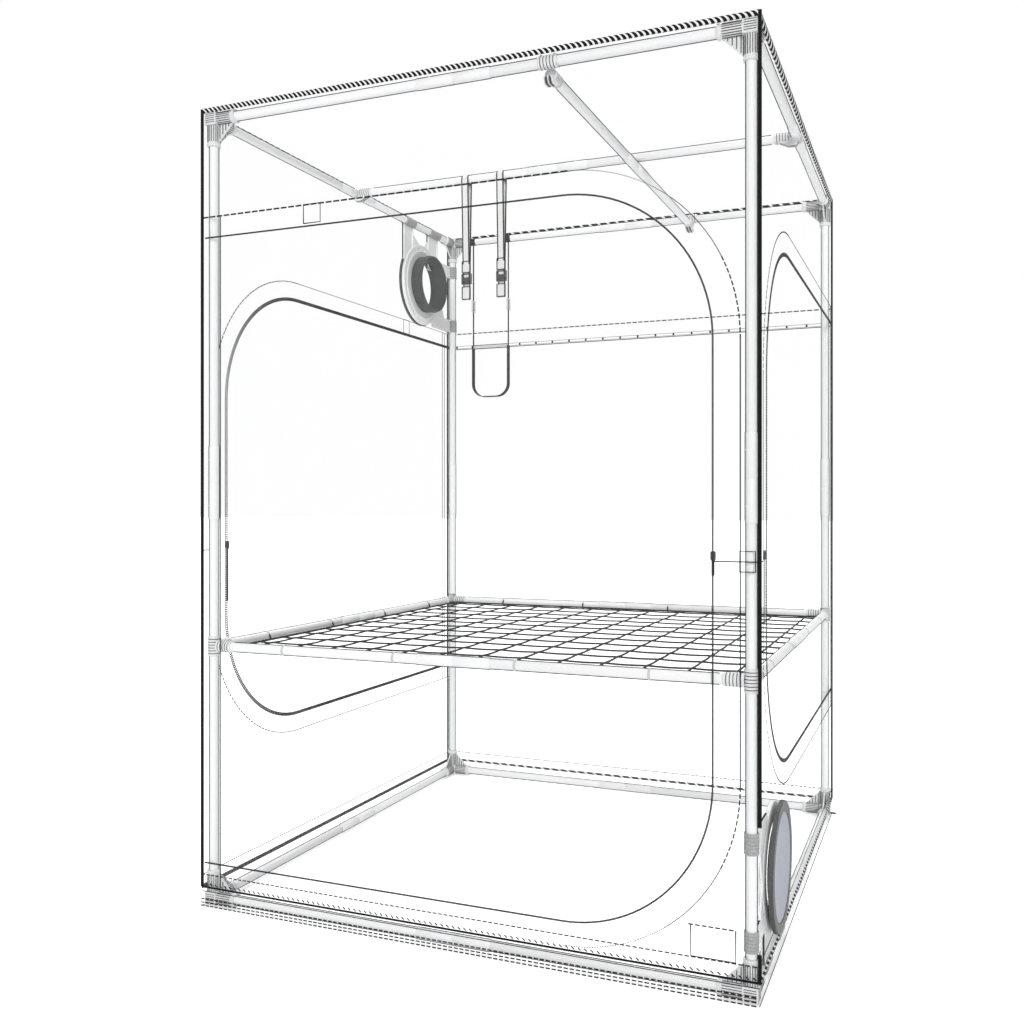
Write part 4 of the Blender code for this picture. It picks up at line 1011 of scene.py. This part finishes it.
def zip_slider(node, place, along_u, pull_w, pull_len):
    wide, top, back = SLIDER_W / 2, SLIDER_TALL, -SLIDER_BASE - SLIDER_T
    bm = bmesh.new()
    add_slab(bm, [(-wide, NOSE), (-wide / 2, 0), (wide / 2, 0), (wide, NOSE), (wide, top - SHOULDER),
                  (SLIDER_W / 3, top), (-SLIDER_W / 3, top), (-wide, top - SHOULDER)],
             back, -SLIDER_BASE - 0.0008)
    add_slab(bm, rect(-SLIDER_W / 5, SLIDER_W / 5, BRIDGE, top - BRIDGE), back, -SLIDER_BASE)
    add_turned(bm, [(LOOP_R, -SLIDER_W / 3), (LOOP_R, SLIDER_W / 3)],
               moved(0, LOOP_AT, back) @ turned(pi / 2, "Y"), 10, False)
    add_slab(bm, rect(-pull_w / 2, pull_w / 2, -pull_len, NOSE), -SLIDER_BASE - PULL_DEPTH[0],
             -SLIDER_BASE - PULL_DEPTH[1])
    bmesh.ops.transform(bm, matrix=place @ moved(along_u, SEAM_Z, 0), verts=bm.verts)
    made(node + "_cast", bm, cast_black, node, (node,), bevel=0.0004)


zip_slider("front_slider", FRONT, FRONT_ZIP["far"], 0.007, 0.032)
zip_slider("left_slider", LEFT, SIDE_ZIP["far"], 0.009, 0.146)
zip_slider("right_slider", RIGHT, -SIDE_ZIP["far"], 0.009, 0.146)

# Port plates: grey moulded discs that carry the vent and the intake. Two arms hook over a rail
# and two ribbed grips hold a pole, with open webs between.
PORT_POLE = 0.25
PORT_RAIL = 0.214
PLATE_R = 0.15
PLATE_HOLE = 0.106
PLATE_BACK = 0.0118
PLATE_T = 0.0116
PLATE_RIM = 0.0022
PLATE_RIBS = 24
PLATE_RIB = (0.0009, 0.0004, 0.004)
RIM_BANDS = (0.020, 0.022, 0.012, 0.010)
ARM_T = 0.008
ARM_ROOT = 0.07
ARM_RIM = 0.004
ARMS = ((-0.148, -0.078), (0.042, 0.122))
GRIP_ROOT = 0.085
GRIP_SHORT = 0.012
VENT_GRIPS = ((0.072, 0.118), (-0.144, -0.096))
INTAKE_GRIPS = ((0.067, 0.113), (-0.149, -0.101))
INTAKE_SHIFT = (0.010, 0.012)
WEBS = (((-0.086, 0.110), (0.050, 0.126), (0.050, 0.142), (-0.012, 0.142), (-0.086, 0.190)),
        ((0.052, 0.118), (0.052, 0.186), (0.004, 0.134)),
        ((0.110, -0.136), (0.200, -0.136), (0.150, -0.005), (0.130, -0.005)),
        ((0.110, 0.078), (0.200, 0.112), (0.150, 0.010), (0.130, 0.010)))
AXIS_DEPTH = HALF_W - AX
GRIP_R = 0.0168
GRIP_BORE = 0.0145
GRIP_RIBS = 6
HOOK_RIBS = 8
DISC_SIDES = 96

grey_plastic = surface("grey_moulded_plastic", ((0.80, 0.805, 0.81), (0.87, 0.875, 0.88)), 0.42, 160, 0.18,
                       specular=0.3)
grip_plastic = surface("grip_plastic", ((0.30, 0.303, 0.306), (0.38, 0.383, 0.386)), 0.5, 220, 0.3,
                       specular=0.3)


def port_plate(node, up, place, grip_places, shift=(0, 0)):
    """A plate whose arms reach up or down to a rail, and whose grips reach back to a pole."""
    to_pole, to_rail = PORT_POLE - shift[0], PORT_RAIL - shift[1]
    back = -PLATE_BACK
    face = back - PLATE_T
    rim_start, rim_end, edge_start, edge_end = RIM_BANDS
    bm, grips = bmesh.new(), bmesh.new()
    add_turned(bm, [
        (PLATE_HOLE, face + PLATE_RIM), (PLATE_HOLE + PLATE_RIM, face), (PLATE_HOLE + rim_start, face),
        (PLATE_HOLE + rim_end, face + PLATE_RIM), (PLATE_R - edge_start, face + PLATE_RIM),
        (PLATE_R - edge_end, face), (PLATE_R - PLATE_RIM, face), (PLATE_R, face + PLATE_RIM),
        (PLATE_R, back - PLATE_RIM / 2), (PLATE_R - PLATE_RIM, back), (PLATE_HOLE, back)][::-1], place,
        DISC_SIDES)
    half, start, end = PLATE_RIB
    for i in range(PLATE_RIBS):
        spoke = place @ turned(2 * pi * (i + 0.5) / PLATE_RIBS)
        add_box(bm, (PLATE_HOLE + rim_end - EDGE, -half, face + start),
                (PLATE_R - edge_start + EDGE, half, face + end), spoke)
    thin = (back - ARM_T + EDGE, back - EDGE)
    rim = (thin[0] - ARM_RIM, thin[1] + 0.0005)
    web = (back - ARM_T + 0.0016, back - 0.0016)

    def flat(points):
        return [(-a, up * b) for a, b in points]

    for low, high in ARMS:
        add_slab(bm, flat(rect(low, high, ARM_ROOT, to_rail)), *thin, place)
        for edge in (low, high - ARM_RIM):
            add_slab(bm, flat(rect(edge, edge + ARM_RIM, ARM_ROOT, to_rail)), *rim, place)
        add_turned(grips, ringed_profile(CLIP_BORE, GRIP_R, -high, -low, HOOK_RIBS),
                   place @ moved(0, up * to_rail, -AXIS_DEPTH) @ along("X"))
    for low, high in grip_places:
        add_slab(bm, flat(rect(GRIP_ROOT, to_pole, low, high)), *thin, place)
        for edge in (low, high - ARM_RIM):
            add_slab(bm, flat(rect(GRIP_ROOT, to_pole - GRIP_SHORT, edge, edge + ARM_RIM)), *rim, place)
        ends = sorted((up * low, up * high))
        add_turned(grips, ringed_profile(GRIP_BORE, GRIP_R, *ends, GRIP_RIBS),
                   place @ moved(-to_pole, 0, -AXIS_DEPTH) @ along("Y"))
    for outline in WEBS:
        add_slab(bm, flat(outline), *web, place)
    made(node + "_moulded", bm, grey_plastic, replaced=(node,), bevel=0.0007)
    made(node + "_grips", grips, grip_plastic, bevel=0.0004)


vent_place = LEFT @ moved(*VENT, 0)
intake_place = RIGHT @ moved(INTAKE[0] - INTAKE_SHIFT[0], INTAKE[1] - INTAKE_SHIFT[1], 0)
port_plate("vent_plate", 1, vent_place, VENT_GRIPS)
port_plate("intake_plate", -1, intake_place, INTAKE_GRIPS, INTAKE_SHIFT)

# Vent collar: dark moulded duct through the wall, with a gasket behind the plate, a screwed
# flange on its face and a bead near the duct's end that keeps a flexible duct from slipping.
GASKET_R = 0.153
GASKET_SPAN = (-0.0028, -0.0113)
GASKET_ROUND = (-0.0100, -0.0040)
FLANGE_R = 0.1255
FLANGE_T = 0.004
FLANGE_SCREWS = 8
FLANGE_SCREW = [(0.0042, -0.001), (0.0042, 0.0008), (0.003, 0.0018)]
DUCT_R = 0.104
DUCT_WALL = 0.004
DUCT_IN = 0.049
DUCT_OUT = 0.0015
DUCT_BEAD = 0.0025
BEAD_SPAN = (0.009, 0.011, 0.013, 0.015)
FACE = PLATE_BACK + PLATE_T + 0.0001
DUCT_END = -FACE - DUCT_IN

dark_plastic = surface("dark_moulded_plastic", ((0.058, 0.059, 0.06), (0.086, 0.087, 0.088)), 0.5, 220, 0.25,
                       specular=0.2)
flange_plastic = surface("flange_plastic", ((0.52, 0.522, 0.524), (0.60, 0.602, 0.604)), 0.5, 220, 0.2,
                         specular=0.2)
bead_start, bead_low, bead_high, bead_end = BEAD_SPAN
bm = bmesh.new()
add_turned(bm, [
    (DUCT_R, -DUCT_OUT), (DUCT_R - DUCT_WALL, -DUCT_OUT), (DUCT_R - DUCT_WALL, DUCT_END),
    (DUCT_R - EDGE, DUCT_END), (DUCT_R, DUCT_END + EDGE), (DUCT_R, DUCT_END + bead_start),
    (DUCT_R + DUCT_BEAD, DUCT_END + bead_low), (DUCT_R + DUCT_BEAD, DUCT_END + bead_high),
    (DUCT_R, DUCT_END + bead_end), (DUCT_R, -FACE - FLANGE_T), (DUCT_R + 0.0005, -0.012), (DUCT_R, -0.003)],
    vent_place, DISC_SIDES)
add_turned(bm, [
    (DUCT_R, GASKET_SPAN[0]), (DUCT_R, GASKET_SPAN[1]), (GASKET_R - EDGE, GASKET_SPAN[1]),
    (GASKET_R, GASKET_ROUND[0]), (GASKET_R, GASKET_ROUND[1]), (GASKET_R - EDGE, GASKET_SPAN[0])], vent_place,
    DISC_SIDES)
made("vent_collar_duct", bm, dark_plastic, replaced=("vent_collar",))
bm = bmesh.new()
flange_face = -FACE - FLANGE_T
add_turned(bm, [
    (DUCT_R + 0.0001, -FACE), (DUCT_R + 0.0001, flange_face), (DUCT_R + 0.006, flange_face),
    (DUCT_R + 0.008, flange_face + 0.001), (FLANGE_R - 0.004, flange_face + 0.001),
    (FLANGE_R - 0.001, flange_face + 0.002), (FLANGE_R, -FACE - 0.0008), (FLANGE_R, -FACE)], vent_place,
    DISC_SIDES)
screw_place = moved((DUCT_R + FLANGE_R) / 2, 0, flange_face + 0.001) @ turned(pi, "X")
for i in range(FLANGE_SCREWS):
    spoke = vent_place @ turned(2 * pi * (i + 0.5) / FLANGE_SCREWS)
    add_turned(bm, FLANGE_SCREW, spoke @ screw_place, 16, False)
made("vent_collar_flange", bm, flange_plastic)

# Intake: a dark ring pushed on the plate's neck from outside, with a ribbed edge, and a pale
# felted filter mat held in its seat.
RING_R = 0.153
RING_OUT = 0.011
RING_BACK = -0.0008
RING_RIBS = 72
RING_RIB_T = 0.0024
SEAT_R = 0.1285
SEAT_T = 0.005
SEAT_EDGE = 0.0012
NECK_R = 0.1
NECK_END = -0.0113
LIP_R = 0.095
MAT_R = SEAT_R - 0.0008
MAT_CORE = 0.002

ring_plastic = surface("ring_plastic", ((0.075, 0.076, 0.077), (0.102, 0.103, 0.104)), 0.5, 220, 0.2,
                       specular=0.2)
felt = surface("pale_filter_felt", ((0.46, 0.48, 0.535), (0.58, 0.60, 0.665)), 0.95, 520, 1.0, specular=0.1)
seat = RING_OUT - SEAT_T
bm = bmesh.new()
add_turned(bm, [
    (RING_R - 0.0015, RING_OUT), (SEAT_R + 0.0015, RING_OUT), (SEAT_R, RING_OUT - SEAT_EDGE), (SEAT_R, seat),
    (LIP_R, seat), (LIP_R, NECK_END), (NECK_R, NECK_END), (NECK_R, RING_BACK), (RING_R - EDGE, RING_BACK),
    (RING_R, 0.0004), (RING_R, RING_OUT - 0.0015)], intake_place, DISC_SIDES)
for i in range(RING_RIBS):
    add_box(bm, (RING_R - EDGE, -RING_RIB_T / 2, 0.0006), (RING_R + 0.0008, RING_RIB_T / 2, RING_OUT - 0.002),
            intake_place @ turned(2 * pi * i / RING_RIBS))
made("intake_ring_moulded", bm, ring_plastic, replaced=("intake_ring",))
seat += 0.0004
bm = bmesh.new()
add_turned(bm, [(MAT_CORE, seat), (MAT_R, seat), (MAT_R, seat + 0.0024), (MAT_R - 0.003, seat + 0.0036),
                (0.08, seat + 0.0041), (MAT_CORE, seat + 0.0043)], intake_place, DISC_SIDES)
made("intake_filter_felt", bm, felt, replaced=("intake_filter",))

# Hanging straps: pale webbing looped over the roof bar, closed by a dark cam buckle, with a
# short tail below it. The webbing's selvedges are dark, and pale keepers hold its tail.
WEB_W = 0.025
WEB_THICK = 0.0014
BAR_TURNS = 16
BUCKLE_Z = 1.818
BUCKLE_DEPTH = 0.0045
BUCKLE_BARS = 0.0148
BUCKLE_HALF = 0.017
BUCKLE_INNER = 0.013
BUCKLE_REACH = 0.0145
BUCKLE_BAR = 0.0022
BUCKLE_T = 0.005
CAM_R = 0.0036
CAM_HALF = 0.0135
CAM_PLATE = (0.011, 0.0075, 0.004)
STRAP_LOW = 1.75
STRAP_SPREAD = (0.0016, 0.0028)
TAIL_GAP = (0.012, 0.010)
KEEPERS = ((1.838, 1.874), (1.752, 1.792))
KEEPER_OUT = 0.0042
KEEPER_FRONT = (-0.0060, -0.0036)
KEEPER_LINES = (0.0014, 0.0016)
SELVEDGE_W = 0.0042
STRAP_SHIFT = 0.0045

edge_thread = surface("dark_selvedge", ((0.008, 0.008, 0.009), (0.03, 0.03, 0.031)), 0.8, 900, 0.5,
                      specular=0.3)
buckle_black = surface("black_buckle", ((0.03, 0.03, 0.031), (0.06, 0.06, 0.062)), 0.35, 320, 0.2)
webbing = surface("pale_webbing", ((0.70, 0.70, 0.69), (0.82, 0.82, 0.81)), 0.85, 1200, 0.8)


def webbing_line():
    """The strap's path in the YZ plane: up from its tail, over the bar, and down to the buckle."""
    radius = TUBE_R + 0.0012
    near, far = STRAP_SPREAD
    over_bar = [(radius * cos(pi * step / BAR_TURNS), CLIP_AXIS_Z + radius * sin(pi * step / BAR_TURNS))
                for step in range(BAR_TURNS + 1)]
    return [(near, STRAP_LOW), (near, BUCKLE_Z - TAIL_GAP[0]), (far, BUCKLE_Z + TAIL_GAP[0])] + over_bar + [
        (-far, BUCKLE_Z + TAIL_GAP[0]), (-near, BUCKLE_Z - TAIL_GAP[1])]


def add_webbing(bm, points, middle, width, thick, offset=0.0):
    """A strap of some width standing across X, along a path in the YZ plane."""
    plane = moved(middle + offset, 0, 0) @ Matrix(((0, 0, 1, 0), (1, 0, 0, 0), (0, 1, 0, 0), (0, 0, 0, 1)))
    add_band(bm, points, thick, -width / 2, width / 2, plane)


def hanger(node):
    middle = centre_of(node).x + STRAP_SHIFT
    path = webbing_line()
    outer = WEB_W / 2 + EDGE
    front, back = KEEPER_FRONT
    thin, broad = KEEPER_LINES
    bm = bmesh.new()
    add_webbing(bm, path, middle, WEB_W - 0.004, WEB_THICK)
    made(node + "_webbing", bm, webbing, node, (node,))
    bm = bmesh.new()
    for side in (-1, 1):
        add_webbing(bm, path, middle, SELVEDGE_W, WEB_THICK * 1.2, side * (WEB_W - SELVEDGE_W) / 2)
    for low_z, high_z in KEEPERS:
        for level in (low_z, high_z):
            add_box(bm, (middle - outer, front, level - thin), (middle + outer, back, level + thin))
        for side in (-1, 1):
            spot = middle + side * outer
            add_box(bm, (spot - broad, front, low_z), (spot + broad, back, high_z))
    roll = along("X", (middle, 0, CLIP_AXIS_Z - TUBE_R - 0.004))
    add_turned(bm, [(0.0042, -WEB_W / 2), (0.0042, WEB_W / 2)], roll, 16, False)
    made(node + "_selvedges", bm, edge_thread, node)
    bm = bmesh.new()
    for side in (-1, 1):
        bar = middle + side * BUCKLE_BARS
        add_box(bm, (bar - BUCKLE_BAR, -BUCKLE_T, BUCKLE_Z - BUCKLE_HALF),
                (bar + BUCKLE_BAR, BUCKLE_T, BUCKLE_Z + BUCKLE_HALF))
    for low_z, high_z in ((-BUCKLE_HALF, -BUCKLE_INNER), (BUCKLE_INNER, BUCKLE_HALF)):
        add_box(bm, (middle - BUCKLE_REACH, -BUCKLE_T, BUCKLE_Z + low_z),
                (middle + BUCKLE_REACH, BUCKLE_T, BUCKLE_Z + high_z))
    cam = along("X", (middle, -BUCKLE_DEPTH, BUCKLE_Z))
    add_turned(bm, [(CAM_R, -CAM_HALF), (CAM_R, CAM_HALF)], cam, 16, False)
    half, deep, rise = CAM_PLATE
    add_box(bm, (middle - half, -deep, BUCKLE_Z - half), (middle + half, -BUCKLE_DEPTH, BUCKLE_Z + rise))
    made(node + "_buckle", bm, buckle_black, node, bevel=0.0006)
    bm = bmesh.new()
    for low_z, high_z in KEEPERS:
        loop = rect(-KEEPER_OUT, KEEPER_OUT, low_z, high_z)
        add_webbing(bm, [loop[0], loop[3], loop[2], loop[1], loop[0]], middle, WEB_W + 0.002, WEB_THICK)
    made(node + "_keepers", bm, webbing, node)


hanger("strap_left")
hanger("strap_right")

# Rear sling: two webbing legs on the rear top rail, a cross band between them and a rounded
# foot that cradles a filter or a bottle. Each leg has a moulded adjuster.
SLING_SHIFT = 0.009
SLING_MIDDLE = centre_of("rear_sling").x + SLING_SHIFT
SLING_HALF = 0.076
SLING_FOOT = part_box("rear_sling")[0].z + 0.0008
SLING_ROUND = 0.05
SLING_STEPS = 12
FOOT_W = 0.023
FOOT_T = 0.0030
BAND_Z = 1.717
BAND_TALL = 0.014
BAND_T = 0.0014
BAND_EDGE = (0.0024, 0.0012)
LEG_W = 0.010
LEG_RING = (0.0004, 0.0018, 0.011)
ADJUSTER_Z = 1.88
ADJUSTER_T = 0.0034
ADJUSTER_BARS = ((-0.022, -0.017, -0.0120, 0.0120), (0.017, 0.022, -0.0120, 0.0120),
                 (-0.022, 0.022, -0.0120, -0.0085), (-0.022, 0.022, 0.0085, 0.0120))

foot_line = []
for step in range(SLING_STEPS + 1):
    angle = pi / 2 * step / SLING_STEPS
    foot_line.append((-SLING_HALF + SLING_ROUND * (1 - cos(angle)),
                      SLING_FOOT + SLING_ROUND * (1 - sin(angle))))
foot_line += [(-u, v) for u, v in foot_line[::-1]]
rear_plane = moved(SLING_MIDDLE, AY, 0) @ UPRIGHT
band_left, band_right = SLING_MIDDLE - SLING_HALF, SLING_MIDDLE + SLING_HALF
bm = bmesh.new()
add_band(bm, [(-SLING_HALF, BAND_Z)] + foot_line + [(SLING_HALF, BAND_Z)], FOOT_T,
         -FOOT_W / 2, FOOT_W / 2, rear_plane)
ring_in, ring_out, ring_half = LEG_RING
for side in (-1, 1):
    leg = [(side * SLING_HALF, BAND_Z - 0.01), (side * SLING_HALF, CLIP_AXIS_Z - TUBE_R - EDGE)]
    add_band(bm, leg, WEB_THICK, -LEG_W / 2, LEG_W / 2, rear_plane)
    add_turned(bm, rect(TUBE_R + ring_in, TUBE_R + ring_out, -ring_half, ring_half)[::-1],
               moved(SLING_MIDDLE + side * SLING_HALF, AY, CLIP_AXIS_Z) @ along("X"))
for level in (BAND_Z - BAND_TALL / 2, BAND_Z + BAND_TALL / 2):
    deep, tall = BAND_EDGE
    add_box(bm, (band_left, AY - deep, level - tall), (band_right, AY + deep, level + tall))
made("rear_sling_webbing", bm, edge_thread, "rear_sling", ("rear_sling",))
bm = bmesh.new()
add_box(bm, (band_left, AY - BAND_T, BAND_Z - BAND_TALL / 2),
        (band_right, AY + BAND_T, BAND_Z + BAND_TALL / 2))
for middle in (band_left, band_right):
    for low_z, high_z, low_y, high_y in ADJUSTER_BARS:
        add_box(bm, (middle - ADJUSTER_T, AY + low_y, ADJUSTER_Z + low_z),
                (middle + ADJUSTER_T, AY + high_y, ADJUSTER_Z + high_z))
made("rear_sling_fittings", bm, moulded, "rear_sling", bevel=0.0004)

low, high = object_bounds()
